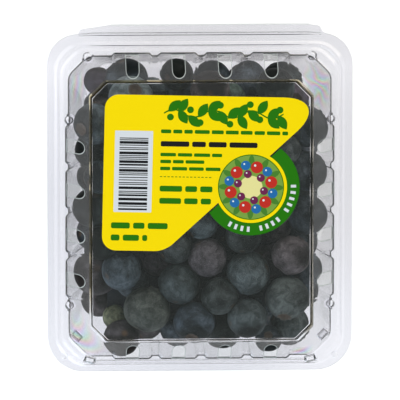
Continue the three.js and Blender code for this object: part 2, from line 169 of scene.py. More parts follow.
def newGroup(name, inputs, outputs):
    group = bpy.data.node_groups.new(name, "ShaderNodeTree")
    for socketName, kind, value in inputs:
        socket = group.interface.new_socket(name=socketName, in_out="INPUT", socket_type="NodeSocket" + kind)
        if value is not None:
            socket.default_value = value
    for socketName, kind in outputs:
        group.interface.new_socket(name=socketName, in_out="OUTPUT", socket_type="NodeSocket" + kind)
    return group, group.nodes.new("NodeGroupInput"), group.nodes.new("NodeGroupOutput")


def useGroup(tree, group, **values):
    node = tree.nodes.new("ShaderNodeGroup")
    node.node_tree = group
    for name, value in values.items():
        socket = node.inputs[name]
        if isinstance(value, bpy.types.NodeSocket):
            tree.links.new(value, socket)
        else:
            socket.default_value = value
    return node


view = {
    "target": (0.00008, -0.00095, 0.037),
    "lean": (-0.0436, 0.153, 1.0),  # towards the camera
    "distance": 2.5,
    "widthSeen": 0.16,
    "sensor": 36,
    "farthest": 20,
}


def addCamera():
    data = bpy.data.cameras.new("camera")
    data.sensor_width = view["sensor"]
    data.angle = 2 * math.atan(view["widthSeen"] / 2 / view["distance"])
    data.clip_end = view["farthest"]
    camera = bpy.data.objects.new("camera", data)
    back = Vector(view["lean"]).normalized()
    right = Vector((0, 1, 0)).cross(back).normalized()
    up = back.cross(right)
    turn = Matrix((right, up, back)).transposed().to_4x4()
    camera.matrix_world = Matrix.Translation(Vector(view["target"]) + back * view["distance"]) @ turn
    scene.collection.objects.link(camera)
    scene.camera = camera


studio = {
    "overhead": 0.32,  # sky brightness straight up
    "horizon": 1.3,
    "skyRise": (0.05, 0.95),
    "skyTint": (0.88, 1.0, 0.95, 1),
    "lamps": [
        {"place": (-0.9, 0.35, 0.75), "size": 1.2, "power": 3.4, "colour": (1.0, 1.0, 1.0)},
        {"place": (-0.55, -0.9, 0.6), "size": 1.0, "power": 5.5, "colour": (0.72, 0.86, 1.0)},
        {"place": (0.6, 0.85, 0.8), "size": 1.2, "power": 6.1, "colour": (1.0, 0.93, 0.79)},
    ],
    "floorColour": (0.84, 0.84, 0.845, 1),
    "floorGlow": 0.55,
    "floorInGloss": 0.42,  # how bright the floor is where the plastic mirrors it
    "floorSize": 3.0,
    "floorRoughness": 0.9,
}


def addLight():
    world = bpy.data.worlds.new("studio")
    scene.world = world
    world.use_nodes = True
    tree = world.node_tree
    tree.nodes.clear()
    place = addNode(tree, "TexCoord")
    height = addNode(tree, "SeparateXYZ", Vector=place.outputs["Generated"])
    glow = rampNode(tree, height.outputs["Z"], *studio["skyRise"], studio["horizon"], studio["overhead"])
    tint = mixColour(tree, height.outputs["Z"], (1, 1, 1, 1), studio["skyTint"])
    sky = addNode(tree, "Background", Color=tint, Strength=glow)
    output = tree.nodes.new("ShaderNodeOutputWorld")
    tree.links.new(sky.outputs[0], output.inputs["Surface"])
    for index, lamp in enumerate(studio["lamps"]):
        data = bpy.data.lights.new("softbox%d" % index, "AREA")
        data.size = lamp["size"]
        data.energy = lamp["power"]
        data.color = lamp["colour"]
        obj = bpy.data.objects.new("softbox%d" % index, data)
        obj.location = lamp["place"]
        obj.rotation_euler = (-Vector(lamp["place"])).to_track_quat("-Z", "Y").to_euler()
        scene.collection.objects.link(obj)


def addFloor():
    material, tree, shader = newMaterial("floorPaper")
    path = tree.nodes.new("ShaderNodeLightPath")
    mirrored = mathNode(tree, "GREATER_THAN", path.outputs["Glossy Depth"], 0.5)
    keep = studio["floorInGloss"]
    colour = mixColour(tree, mirrored, studio["floorColour"], scaled(studio["floorColour"], keep))
    glow = mixColour(tree, mirrored, (1, 1, 1, 1), scaled((1, 1, 1), keep))
    tree.links.new(colour, shader.inputs["Base Color"])
    tree.links.new(glow, shader.inputs["Emission Color"])
    shader.inputs["Emission Strength"].default_value = studio["floorGlow"]
    shader.inputs["Roughness"].default_value = studio["floorRoughness"]
    shader.inputs["Specular IOR Level"].default_value = 0.0
    bm = bmesh.new()
    bmesh.ops.create_grid(bm, x_segments=4, y_segments=4, size=studio["floorSize"])
    floor = newObject("floor", bm, material, None)


addCamera()
addLight()
addFloor()
print("camera, light and floor set")


# what the lid and the tray share, in millimetres
pack = {
    "halfWidth": 61.0,
    "halfLength": 68.1,
    "tabReach": 4.1,
    "foldGap": 0.15,
    # the tab's two ends: x and how far it stands out behind the flange there
    "tabLeft": [(-48.5, 0.0), (-47.7, 1.85), (-41.5, 2.75), (-35.9, 3.6)],
    "tabRight": [(38.0, 3.6), (44.4, 3.45), (47.8, 2.9), (49.2, 0.6)],
    "tabHalf": 48.6,
    "tabMiddle": 3.6,
    "tabDepth": 1.5,  # rows nearer than this to the back edge take part in the tab
    "tabDrop": 0.25,
    "tabDropRun": 2.0,
    # across the fold line: how far behind the flange's edge, how deep
    "foldGroove": [(0.32, 0.0), (0.11, 0.45), (-0.11, 0.45), (-0.32, 0.0)],
    "seam": 37.0,
    "sheet": 0.45,
    "flangeTop": 37.75,  # of the lid
    "trayFlangeTop": 36.85,
    "bead": 1.2,
    "pocketsOnSide": 4,
    "pocketDepth": 1.1,
    "pocketFlat": 13.2,
    "pocketRamp": 1.4,
    "pitchAcross": 18.4,
    "pitchAlong": 17.95,
    "alongShift": -3.1,
    "acrossShift": 0.45,
    "cutShrink": 0.6,  # how much a corner cut shrinks with its outline
    "leastBend": 0.5,
    "cornerSteps": 7,
    "rampSteps": 4,
    "flatStations": (-0.25, 0.0, 0.25),
    "endStations": (0.34, 0.66, 0.95),
    "sideMargin": 0.5,
    "mostRounded": 0.48,  # share of a stretch that a bend may take
    "bendSteps": 4,
}
middleY = -(pack["tabReach"] - pack["foldGap"]) / 2

# an outline is half width, reach to the front, to the back, front corner cut, back corner cut, corner bend
lip = (pack["halfWidth"], pack["halfLength"], pack["halfLength"], 14.5, 12.5, 14.5)
ribFoot = (52.6, 62.0, 59.5, 9.5, 9.5, 5.0)
plateauEdge = (44.4, 53.8, 51.3, 7.0, 7.0, 2.0)
wallFoot = (45.2, 54.6, 52.1, 10.0, 10.0, 6.0)


def inset(outline, distance):
    width, front, back, cutFront, cutBack, bend = outline
    shrink = distance * pack["cutShrink"]
    return (width - distance, front - distance, back - distance, cutFront - shrink, cutBack - shrink,
            max(bend - distance, pack["leastBend"]))


def between(first, second, share):
    return tuple(a + (b - a) * share for a, b in zip(first, second))


def sideStations(pitch, shift, halfStraight):
    # (place along the side, how much of the pocket's depth it has)
    stations = []
    half = pack["pocketFlat"] / 2 + pack["pocketRamp"]
    steps = pack["rampSteps"]
    ramp = [(step / steps, smoothStep(step / steps)) for step in range(steps + 1)]
    for index in range(pack["pocketsOnSide"]):
        centre = shift + (index - (pack["pocketsOnSide"] - 1) / 2) * pitch
        stations += [(centre - half + pack["pocketRamp"] * share, depth) for share, depth in ramp]
        stations += [(centre + pack["pocketFlat"] * share, 1.0) for share in pack["flatStations"]]
        stations += [(centre + half - pack["pocketRamp"] * share, depth) for share, depth in reversed(ramp)]
        if index < pack["pocketsOnSide"] - 1:
            stations.append((centre + pitch / 2, 0.0))
    outermost = max(abs(place) for place, depth in stations)
    squeeze = min(1.0, (halfStraight - pack["sideMargin"]) / outermost)
    stations = [(place * squeeze, depth) for place, depth in stations]
    last = stations[-1][0]
    first = stations[0][0]
    ends = pack["endStations"]
    before = [(-halfStraight + (first + halfStraight) * share, 0.0) for share in ends]
    after = [(last + (halfStraight - last) * (1 - share), 0.0) for share in reversed(ends)]
    return before + stations + after


def outlinePoints(outline, bulge):
    # one closed ring, anticlockwise from above, always with the same number of points
    width, front, back, cutFront, cutBack, bend = outline
    right, rear = Vector((1, 0)), Vector((0, 1))
    sides = [
        (right, rear, width, back, cutBack, True),
        (rear, -right, back, width, cutBack, False),
        (-right, -rear, width, front, cutFront, True),
        (-rear, right, front, width, cutFront, False),
    ]
    points = []
    for outward, along, reach, end, cut, isLong in sides:
        straightFront = (front if isLong else width) - cutFront
        straightBack = (back if isLong else width) - cutBack
        shift = pack["alongShift"] * along.y if isLong else pack["acrossShift"] * along.x
        pitch = pack["pitchAlong"] if isLong else pack["pitchAcross"]
        for place, depth in sideStations(pitch, shift, min(straightFront, straightBack)):
            points.append(outward * (reach + bulge * depth) + along * place)
        corner = outward * reach + along * end
        radius = min(bend, cut)
        centres = [corner - along * cut - outward * radius, corner - outward * cut - along * radius]
        for centre, start in zip(centres, (0, math.pi / 4)):
            for step in range(pack["cornerSteps"]):
                angle = start + step / (pack["cornerSteps"] - 1) * math.pi / 4
                # the two bends meet in one point where there is no straight cut between them
                points.append(centre + outward * radius * math.cos(angle) + along * radius * math.sin(angle))
    return points


def softPath(keys):
    # a key is an outline, its height, how far its pockets stand out, and how much it is rounded
    def length(a, b):
        return math.hypot(a[0][0] - b[0][0], a[1] - b[1])

    path = [keys[0][:3]]
    for index in range(1, len(keys) - 1):
        before, key, after = keys[index - 1], keys[index], keys[index + 1]
        if not key[3]:
            path.append(key[:3])
            continue
        back = min(pack["mostRounded"], key[3] / length(before, key))
        ahead = min(pack["mostRounded"], key[3] / length(key, after))
        start = mixKeys(key, before, back)
        end = mixKeys(key, after, ahead)
        for step in range(pack["bendSteps"] + 1):
            share = step / pack["bendSteps"]
            first = mixKeys(start, key, share)
            second = mixKeys(key, end, share)
            path.append(mixKeys(first, second, share))
    path.append(keys[-1][:3])
    return path


def mixKeys(first, second, share):
    return (between(first[0], second[0], share), first[1] + (second[1] - first[1]) * share,
            first[2] + (second[2] - first[2]) * share)


def pullTab(verts, row, drop, groove):
    # behind the flange the first rows run on as the hinge tab, with a fold line at its root
    edge = middleY + pack["halfLength"]
    near, half = (edge - pack["tabDepth"]) * mm, pack["tabHalf"] * mm
    rear = [v for v in verts if v.co.y > near and abs(v.co.x) < half]
    rear.sort(key=lambda v: v.co.x)
    if row == 0:
        plain = len(rear) - len(pack["tabLeft"]) - len(pack["tabRight"])
        ends = pack["tabLeft"] + [None] * plain + pack["tabRight"]
        for vert, end in zip(rear, ends):
            x, reach = end or (vert.co.x / mm, pack["tabMiddle"])
            vert.co.x = x * mm
            vert.co.y = (edge + reach) * mm
            vert.co.z -= drop * mm * min(1.0, reach / pack["tabDropRun"])
    elif row <= len(pack["foldGroove"]):
        along, depth = pack["foldGroove"][row - 1]
        for vert in rear[1:-1]:
            vert.co.y = (edge + along) * mm
            vert.co.z -= depth * groove * mm


def sheetFromPath(path, tabDrop, groove):
    # the open sheet is drawn ring by ring from its lip to its middle
    bm = bmesh.new()
    edges = None
    for index, (outline, height, bulge) in enumerate(path):
        points = outlinePoints(outline, bulge)
        if edges is None:
            made = bmesh.ops.create_circle(bm, cap_ends=False, segments=len(points), radius=1)
            ringVerts = made["verts"]
            edges = list(bm.edges)
        else:
            made = bmesh.ops.extrude_edge_only(bm, edges=edges)
            old = ringVerts
            newVerts = {e for e in made["geom"] if isinstance(e, bmesh.types.BMVert)}
            edges = [e for e in made["geom"] if isinstance(e, bmesh.types.BMEdge)
                     and e.verts[0] in newVerts and e.verts[1] in newVerts]
            ringVerts = []
            for vert in old:
                ringVerts.append(next(e.other_vert(vert) for e in vert.link_edges
                                      if e.other_vert(vert) in newVerts))
        for vert, point in zip(ringVerts, points):
            vert.co = Vector((point.x * mm, (point.y + middleY) * mm, height * mm))
        pullTab(ringVerts, index, tabDrop, groove)
    bmesh.ops.contextual_create(bm, geom=edges)
    bmesh.ops.recalc_face_normals(bm, faces=bm.faces)
    middle = max(bm.faces, key=lambda face: face.calc_area())
    if middle.normal.z < 0:
        bmesh.ops.reverse_faces(bm, faces=bm.faces)
    return bm


# the flange is the same for both: a flat lip, a step, a dip and a bead before the wall's foot
flange = {
    "lipRows": (0.0, 0.1, 0.22, 0.34, 0.48),  # the first rows carry the tab and its fold line
    # share of the way from the lip to the foot, level, how much it is rounded
    "steps": [(0.11, "flat", 0.0), (0.34, "flat", 0.7), (0.46, "step", 0.5), (0.52, "step", 0.3),
              (0.58, "dip", 0.3), (0.63, "dip", 0.3), (0.73, "bead", 0.5)],
    "footBend": 1.4,
    "lidLevels": {"flat": 0.0, "step": 0.75, "dip": 0.4, "bead": pack["bead"]},
    "trayLevels": {"flat": 0.0, "step": 0.7, "dip": 0.35, "bead": pack["bead"] - 0.1},
}


def flangeKeys(top, levels, foot):
    keys = [(inset(lip, row), top, 0, 0) for row in flange["lipRows"]]
    for share, level, bend in flange["steps"]:
        keys.append((between(lip, foot, share), top + levels[level], 0, bend))
    return keys + [(foot, top + levels["bead"], pack["pocketDepth"], flange["footBend"])]


def thicken(obj):
    solid = obj.modifiers.new("sheet", "SOLIDIFY")
    solid.thickness = pack["sheet"] * mm
    solid.offset = -1
    solid.use_even_offset = True
    solid.use_quality_normals = True
    bakeModifiers(obj)


plastic = {
    "tint": (0.905, 0.895, 0.925),
    "uneven": 0.985,
    "unevenScale": 35.0,
    "roughness": 0.03,
    "bend": 1.5,  # index of refraction
    "clear": 1.0,  # share of light that passes
    "ripple": 0.02,
    "rippleScale": 90.0,
    "rippleHeight": 0.002,
    "greyerFrom": 0.051,  # towards the hinge the sheet is a little greyer
    "greyerRun": 0.012,
    "greyerTint": 0.965,
    "inShade": (0.93, 0.935, 0.95, 1),  # what lamps lose on their way through
}

# soft rainbow bands of strained sheet
strain = {
    "wobble": 95.0,
    "colourShifts": (0.0, 2.2, 4.2),
    "lowest": 0.0393,  # the flange below the dome stays clear
    "edge": 1000.0,
    "places": [
        {"Centre": (-0.045, -0.0453, 0.044), "Spot": (-0.0455, -0.0540, 0.0425), "Bands": 1350.0,
         "Reach": 0.0125, "Swirl": 0.003, "Strength": 0.34},
        {"Centre": (0.060, 0.062, 0.045), "Spot": (0.0462, 0.0452, 0.045), "Bands": 1700.0,
         "Reach": 0.0115, "Swirl": 0.013, "Strength": 0.46},
        {"Centre": (0.036, -0.052, 0.045), "Spot": (0.0405, -0.0600, 0.042), "Bands": 1500.0,
         "Reach": 0.0055, "Swirl": 0.003, "Strength": 0.50},
        {"Centre": (-0.090, 0.050, 0.045), "Spot": (-0.0490, 0.0455, 0.043), "Bands": 2300.0,
         "Reach": 0.0085, "Swirl": 0.002, "Strength": 0.28},
    ],
}

# the thin top edge of the panel's rim: a painted reflection of the yellow label, yellowish at the back and on
# the left, and painted shade, dark on the right
rimReflectionAndShade = {
    "below": (0.70, 0.50),  # under the plateau's top, in millimetres
    "labelReflectionFrom": (-0.004, 0.012),
    "paintedLabelReflection": (0.44, 0.34, 0.12, 1),
    "amount": 0.9,
    "paintedShadeFrom": (0.0405, 0.0425),
    "dark": (0.20, 0.18, 0.14, 1),
}


def stressGroup():
    group, entry, result = newGroup("stressColours", [
        ("Vector", "Vector", None), ("Centre", "Vector", (0, 0, 0)), ("Spot", "Vector", (0, 0, 0)),
        ("Bands", "Float", 2600.0), ("Reach", "Float", 0.008), ("Swirl", "Float", 0.004),
        ("Strength", "Float", 0.3), ("Lowest", "Float", 0.039), ("Colour", "Color", (1, 1, 1, 1)),
    ], [("Colour", "Color")])
    point = entry.outputs["Vector"]
    wobble = addNode(group, "TexNoise", Vector=point, Scale=strain["wobble"], Detail=1.5)
    swing = addNode(group, "VectorMath", {"operation": "SCALE"}, i0=wobble.outputs["Color"],
                    Scale=entry.outputs["Swirl"])
    drift = addNode(group, "VectorMath", {"operation": "ADD"}, i0=swing.outputs[0], i1=point)
    apart = {"operation": "DISTANCE"}
    ring = addNode(group, "VectorMath", apart, i0=drift.outputs[0], i1=entry.outputs["Centre"])
    away = addNode(group, "VectorMath", apart, i0=point, i1=entry.outputs["Spot"])
    fade = rampNode(group, away.outputs["Value"], 0.0, entry.outputs["Reach"], 1.0, 0.0)
    phase = mathNode(group, "MULTIPLY", ring.outputs["Value"], entry.outputs["Bands"])
    bands = []
    for shift in strain["colourShifts"]:
        wave = mathNode(group, "SINE", mathNode(group, "ADD", phase, shift))
        bands.append(mathNode(group, "MULTIPLY_ADD", wave, 0.5, third=0.5))
    rainbow = addNode(group, "CombineColor", Red=bands[0], Green=bands[1], Blue=bands[2])
    parts = addNode(group, "SeparateXYZ", Vector=point)
    above = mathNode(group, "SUBTRACT", parts.outputs["Z"], entry.outputs["Lowest"])
    onDome = mathNode(group, "MULTIPLY", above, strain["edge"], True)
    patch = mathNode(group, "MULTIPLY", fade, onDome)
    strength = mathNode(group, "MULTIPLY", patch, entry.outputs["Strength"])
    tinted = mixColour(group, strength, entry.outputs["Colour"], rainbow.outputs[0], "MULTIPLY")
    group.links.new(tinted, result.inputs["Colour"])
    return group


stressColours = stressGroup()


def clearPlastic(name, look, isLid=False):
    material, tree, shader = newMaterial(name)
    place = addNode(tree, "TexCoord")
    point = place.outputs["Object"]
    tone = addNode(tree, "TexNoise", Vector=point, Scale=look["unevenScale"], Detail=2.0)
    colour = mixColour(tree, tone.outputs["Fac"], scaled(look["tint"], look["uneven"]), scaled(look["tint"]))
    for spot in strain["places"] if isLid else ():
        stress = useGroup(tree, stressColours, Vector=point, Lowest=strain["lowest"], Colour=colour, **spot)
        colour = stress.outputs["Colour"]
    parts = addNode(tree, "SeparateXYZ", Vector=point)
    greyerToHinge = rampNode(tree, parts.outputs["Y"], look["greyerFrom"], look["greyerFrom"] + look["greyerRun"])
    colour = mixColour(tree, greyerToHinge, colour, scaled((1, 1, 1), look["greyerTint"]), "MULTIPLY")
    # painted shade on the right of the rim's top edge, and a painted reflection of the yellow label at its
    # back and left
    if isLid:
        low, high = ((lidShape["plateauTop"] - below) * mm for below in rimReflectionAndShade["below"])
        edge = rampNode(tree, parts.outputs["Z"], low, high, soft=False)
        right = rampNode(tree, parts.outputs["X"], *rimReflectionAndShade["paintedShadeFrom"], soft=False)
        colour = mixColour(tree, mathNode(tree, "MULTIPLY", edge, right), colour, rimReflectionAndShade["dark"])
        slant = mathNode(tree, "SUBTRACT", parts.outputs["Y"], parts.outputs["X"])
        rear = rampNode(tree, slant, *rimReflectionAndShade["labelReflectionFrom"])
        paintedLabelReflection = mathNode(tree, "MULTIPLY", mathNode(tree, "MULTIPLY", edge, rear), rimReflectionAndShade["amount"])
        colour = mixColour(tree, paintedLabelReflection, colour, rimReflectionAndShade["paintedLabelReflection"])
    tree.links.new(colour, shader.inputs["Base Color"])
    shader.inputs["Roughness"].default_value = look["roughness"]
    shader.inputs["IOR"].default_value = look["bend"]
    shader.inputs["Transmission Weight"].default_value = look["clear"]
    shader.inputs["Metallic"].default_value = 0.0
    waves = addNode(tree, "TexNoise", Vector=point, Scale=look["rippleScale"], Detail=1.0)
    bump = addNode(tree, "Bump", Height=waves.outputs["Fac"], Strength=look["ripple"],
                   Distance=look["rippleHeight"])
    tree.links.new(bump.outputs["Normal"], shader.inputs["Normal"])
    # lamps shine through
    seeThrough = addNode(tree, "BsdfTransparent", Color=look["inShade"])
    path = tree.nodes.new("ShaderNodeLightPath")
    soft = mathNode(tree, "MAXIMUM", path.outputs["Is Shadow Ray"], path.outputs["Is Diffuse Ray"])
    blend = addNode(tree, "MixShader", i0=soft, i1=shader.outputs["BSDF"], i2=seeThrough.outputs["BSDF"])
    tree.links.new(blend.outputs[0], tree.get_output_node("ALL").inputs["Surface"])
    return material


# the lips round the slots
punched = {"grain": 700.0, "dark": (0.30, 0.33, 0.33, 1), "pale": (0.55, 0.58, 0.58, 1), "roughness": 0.35}


def frostedPlastic():
    material, tree, shader = newMaterial("punchedEdge")
    place = addNode(tree, "TexCoord")
    grain = addNode(tree, "TexNoise", Vector=place.outputs["Object"], Scale=punched["grain"], Detail=2.0)
    colour = mixColour(tree, grain.outputs["Fac"], punched["dark"], punched["pale"])
    tree.links.new(colour, shader.inputs["Base Color"])
    shader.inputs["Roughness"].default_value = punched["roughness"]
    return material


lidShape = {
    "plateauTop": 52.75,
    "panelDepth": 0.9,
    "rimWidth": 0.9,
    "rimRun": 0.2,
    "panelRows": (1.5, 4.0),
    "slotWidth": 5.0,
    "slotRim": 0.22,
    "slotBend": 0.9,
    "slotSquare": 1.03,
    "slotTall": 16.0,
    "slotLift": 0.12,  # over the bead
    "slotRimDrop": 0.3,
    "slotFootMargins": [0.6, 0.7, 0.6, 0.4],  # right, back, left, front
    "slotTopMargins": [2.0, 0.8, 2.0, 2.0],
    "domeRun": 9.3,
}

# small round studs and turned blocks on the lid's flange, one of each at both sides
lugs = {
    # x, y from the flange's middle, radius, height
    "studs": [(44.7, 59.0, 2.6, 0.7), (52.0, 33.9, 2.5, 0.7), (52.0, -41.0, 2.5, 0.7),
              (54.5, -62.2, 1.65, 0.3)],
    # x, y, length, width, height, turn in degrees
    "blocks": [(49.1, -53.1, 5.0, 3.4, 1.3, 45), (44.2, -63.2, 5.0, 3.2, 1.2, 15)],
    "onBead": 0.5,  # lower studs stand on the lip beside the bead
    "studTaper": 0.52,
    "blockTaper": (0.74, 0.62),
    "bend": 0.4,
    "root": 1.0,
    "outsideSink": -0.6,
    "hollowSink": 0.3,
}

lidPlastic = clearPlastic("lidPlastic", plastic, True)
trayPlastic = clearPlastic("trayPlastic", plastic)


def lidPath():
    rim = inset(plateauEdge, lidShape["rimWidth"])
    panel = inset(plateauEdge, lidShape["rimWidth"] + lidShape["rimRun"])
    panelTop = lidShape["plateauTop"] - lidShape["panelDepth"]
    keys = flangeKeys(pack["flangeTop"], flange["lidLevels"], ribFoot) + [
        (plateauEdge, lidShape["plateauTop"], 0, 0.6),
        (rim, lidShape["plateauTop"], 0, 0.2),
        (panel, panelTop, 0, 0.2),
        (inset(panel, lidShape["panelRows"][0]), panelTop, 0, 0.2),
        (inset(panel, lidShape["panelRows"][1]), panelTop, 0, 0),
    ]
    return softPath(keys)


def addSlot(bm, half, length, low, matrix):
    # an upright prism with a round inner end and a square outer one with small bends
    slot = bmesh.new()
    verts = bmesh.ops.create_circle(slot, cap_ends=True, segments=32, radius=half)["verts"]
    for vert in verts:
        if vert.co.x > nearZero:
            vert.co.x = length
            vert.co.y = max(-half, min(half, vert.co.y * lidShape["slotSquare"]))
    bmesh.ops.remove_doubles(slot, verts=slot.verts, dist=weld)
    outer = [v for v in slot.verts if v.co.x > 0.5 * length and abs(v.co.y) > half - weld]
    bmesh.ops.bevel(slot, geom=outer, offset=lidShape["slotBend"] * mm, affect="VERTICES", segments=4,
                    profile=0.5, material=-1)
    pulled = bmesh.ops.extrude_face_region(slot, geom=list(slot.faces))["geom"]
    high = [v for v in pulled if isinstance(v, bmesh.types.BMVert)]
    bmesh.ops.translate(slot, verts=high, vec=(0, 0, lidShape["slotTall"] * mm))
    bmesh.ops.translate(slot, verts=slot.verts, vec=(0, 0, low))
    slot.transform(matrix)
    mergeInto(bm, slot)


def slotCutters(grow):
    bm = bmesh.new()
    half = lidShape["slotWidth"] / 2
    reaches = [ribFoot[0], ribFoot[2], ribFoot[0], ribFoot[1]]
    low = pack["flangeTop"] + pack["bead"] + lidShape["slotLift"] - grow * lidShape["slotRimDrop"]
    for side, reach in enumerate(reaches):
        foot = reach + pack["pocketDepth"] - lidShape["slotFootMargins"][side] + grow
        top = reach + pack["pocketDepth"] - lidShape["domeRun"] + lidShape["slotTopMargins"][side] + half
        isLong = side % 2 == 0
        pitch = pack["pitchAlong"] if isLong else pack["pitchAcross"]
        shift = (pack["alongShift"] if isLong else pack["acrossShift"]) * (1 if side in (0, 3) else -1)
        turn = Matrix.Translation((0, middleY * mm, 0)) @ Matrix.Rotation(side * math.pi / 2, 4, "Z")
        for index in range(pack["pocketsOnSide"]):
            along = shift + (index - (pack["pocketsOnSide"] - 1) / 2) * pitch
            place = turn @ Matrix.Translation((top * mm, along * mm, 0))
            addSlot(bm, (half + grow) * mm, (foot - top) * mm, low * mm, place)
    return bm


def finishLug(bm, verts, x, y, centre):
    bmesh.ops.translate(bm, verts=verts, vec=(x * mm, (y + middleY) * mm, centre * mm))
    high = max(v.co.z for v in verts)
    edges = {e for v in verts for e in v.link_edges if all(abs(w.co.z - high) < weld for w in e.verts)}
    bmesh.ops.bevel(bm, geom=list(edges), offset=lugs["bend"] * mm, affect="EDGES", segments=3, profile=0.5,
                    material=-1)


def lugShapes(shrink, sink):
    # the smaller ones, shrunk by the sheet, hollow the lugs out from below
    bm = bmesh.new()
    flangeTop = pack["flangeTop"]
    for side in (1, -1):
        for x, y, radius, height in lugs["studs"]:
            base = flangeTop + (pack["bead"] if height > lugs["onBead"] else 0)
            size = radius - shrink
            depth = height + lugs["root"] - shrink + sink
            verts = bmesh.ops.create_cone(bm, cap_ends=True, segments=32, radius1=size * mm,
                                          radius2=size * lugs["studTaper"] * mm, depth=depth * mm)["verts"]
            finishLug(bm, verts, side * x, y, base - lugs["root"] - sink + depth / 2)
        for x, y, length, width, height, turn in lugs["blocks"]:
            base = flangeTop + pack["bead"]
            depth = height + lugs["root"] - shrink + sink
            verts = bmesh.ops.create_cube(bm, size=1)["verts"]
            size = ((length - 2 * shrink) * mm, (width - 2 * shrink) * mm, depth * mm)
            bmesh.ops.scale(bm, verts=verts, vec=size)
            for vert in verts:
                if vert.co.z > 0:
                    vert.co.x *= lugs["blockTaper"][0]
                    vert.co.y *= lugs["blockTaper"][1]
            turned = Matrix.Rotation(math.radians(side * turn), 3, "Z")
            bmesh.ops.rotate(bm, verts=verts, cent=(0, 0, 0), matrix=turned)
            finishLug(bm, verts, side * x, y, base - lugs["root"] - sink + depth / 2)
    return bm


def makeLid():
    lid = newObject("lidShell", sheetFromPath(lidPath(), pack["tabDrop"], 1), lidPlastic)
    thicken(lid)
    cutWith(lid, lugShapes(0, lugs["outsideSink"]), "UNION")
    cutWith(lid, lugShapes(pack["sheet"], lugs["hollowSink"]))
    # the pale lips round the slots are the same sheet, roughened where it was punched
    rims = bpy.data.objects.new("slotRims", lid.data.copy())
    scene.collection.objects.link(rims)
    cutWith(rims, slotCutters(lidShape["slotRim"]), "INTERSECT")
    cutWith(rims, slotCutters(0))
    rims.data.materials.clear()
    rims.data.materials.append(frostedPlastic())
    cutWith(lid, slotCutters(lidShape["slotRim"]))
    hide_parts("lid")
    for piece in (lid, rims):
        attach(piece, "lid")


makeLid()
print("lid made")


trayShape = {
    "inset": 0.55,  # of the wall's foot from the lid's
    "footBend": 1.4,
    "heelHeight": 2.4,
    "heelRun": 2.2,
    "footWidth": 5.0,
    "floorRise": 1.6,
    "floorPocket": 0.7,
    "drain": (4.0, 12.0),
    "drainAcross": 24.0,
    "drainAlong": 23.6,
    "drainRows": 4,
    "drainBend": 1.8,
    "drainCut": (2.0, 6.0),  # middle height, tallness
    "floorRows": (2.0, 5.0),
    "bendShift": 0.4,  # of the sheet's thickness, either way at the foot
}


def trayPath():
    sheet = pack["sheet"]
    shift = sheet * trayShape["bendShift"]
    heel = inset(wallFoot, trayShape["heelRun"])
    footInside = inset(heel, trayShape["footWidth"])
    floorEdge = inset(footInside, trayShape["floorRise"])
    floorTop = trayShape["floorRise"] + sheet
    heelTop = trayShape["heelHeight"] + sheet
    keys = flangeKeys(pack["trayFlangeTop"], flange["trayLevels"], inset(ribFoot, trayShape["inset"])) + [
        (inset(wallFoot, sheet), heelTop, trayShape["floorPocket"], trayShape["footBend"]),
        (inset(heel, shift), sheet, 0, 0.6),
        (inset(footInside, -shift), sheet, 0, 0.5),
        (floorEdge, floorTop, 0, 0.5),
        (inset(floorEdge, trayShape["floorRows"][0]), floorTop, 0, 0.2),
        (inset(floorEdge, trayShape["floorRows"][1]), floorTop, 0, 0),
    ]
    return softPath(keys)


def drainCutters():
    bm = bmesh.new()
    width, length = trayShape["drain"]
    middle, tall = trayShape["drainCut"]
    for x in (-trayShape["drainAcross"], trayShape["drainAcross"]):
        for row in range(trayShape["drainRows"]):
            y = (row - (trayShape["drainRows"] - 1) / 2) * trayShape["drainAlong"] + middleY
            verts = bmesh.ops.create_cube(bm, size=1)["verts"]
            bmesh.ops.scale(bm, verts=verts, vec=(width * mm, length * mm, tall * mm))
            bmesh.ops.translate(bm, verts=verts, vec=(x * mm, y * mm, middle * mm))
            bmesh.ops.bevel(bm, geom=uprightEdges(verts), offset=trayShape["drainBend"] * mm, affect="EDGES",
                            segments=5, profile=0.5, material=-1)
    return bm


def makeTray():
    tray = newObject("trayShell", sheetFromPath(trayPath(), 0.0, 0), trayPlastic)
    thicken(tray)
    cutWith(tray, drainCutters())
    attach(tray, "base")
    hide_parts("tray")


makeTray()
print("tray made")


fold = {
    "ends": (-35.5, 43.8),
    "thickness": 0.4,
    "proud": 0.53,
    "steps": 12,
    "look": {"roughness": 0.45, "clear": 0.4, "tint": (0.90, 0.90, 0.92)},
}


def makeFold():
    # a thin strip bent round from the tray's tab to the lid's tab
    bm = bmesh.new()
    y = (middleY + pack["halfLength"] + pack["tabReach"] - pack["foldGap"] - fold["proud"]) * mm
    lidTabMiddle = pack["flangeTop"] - pack["tabDrop"] - pack["sheet"] / 2
    trayTabMiddle = pack["trayFlangeTop"] - pack["sheet"] / 2
    centre = Vector((0, y, (lidTabMiddle + trayTabMiddle) / 2 * mm))
    radius = (lidTabMiddle - trayTabMiddle) / 2 * mm
    half = fold["thickness"] / 2 * mm
    left, right = (end * mm for end in fold["ends"])
    corners = [bm.verts.new((x, y, centre.z - radius + rise))
               for x, rise in ((left, -half), (right, -half), (right, half), (left, half))]
    bm.faces.new(corners)
    bmesh.ops.spin(bm, geom=list(bm.faces), cent=centre, axis=(1, 0, 0), angle=math.pi, steps=fold["steps"])
    bmesh.ops.recalc_face_normals(bm, faces=bm.faces)
    strip = newObject("hingeFold", bm, clearPlastic("foldPlastic", {**plastic, **fold["look"]}))
    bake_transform(strip)


makeFold()
print("hinge fold made")


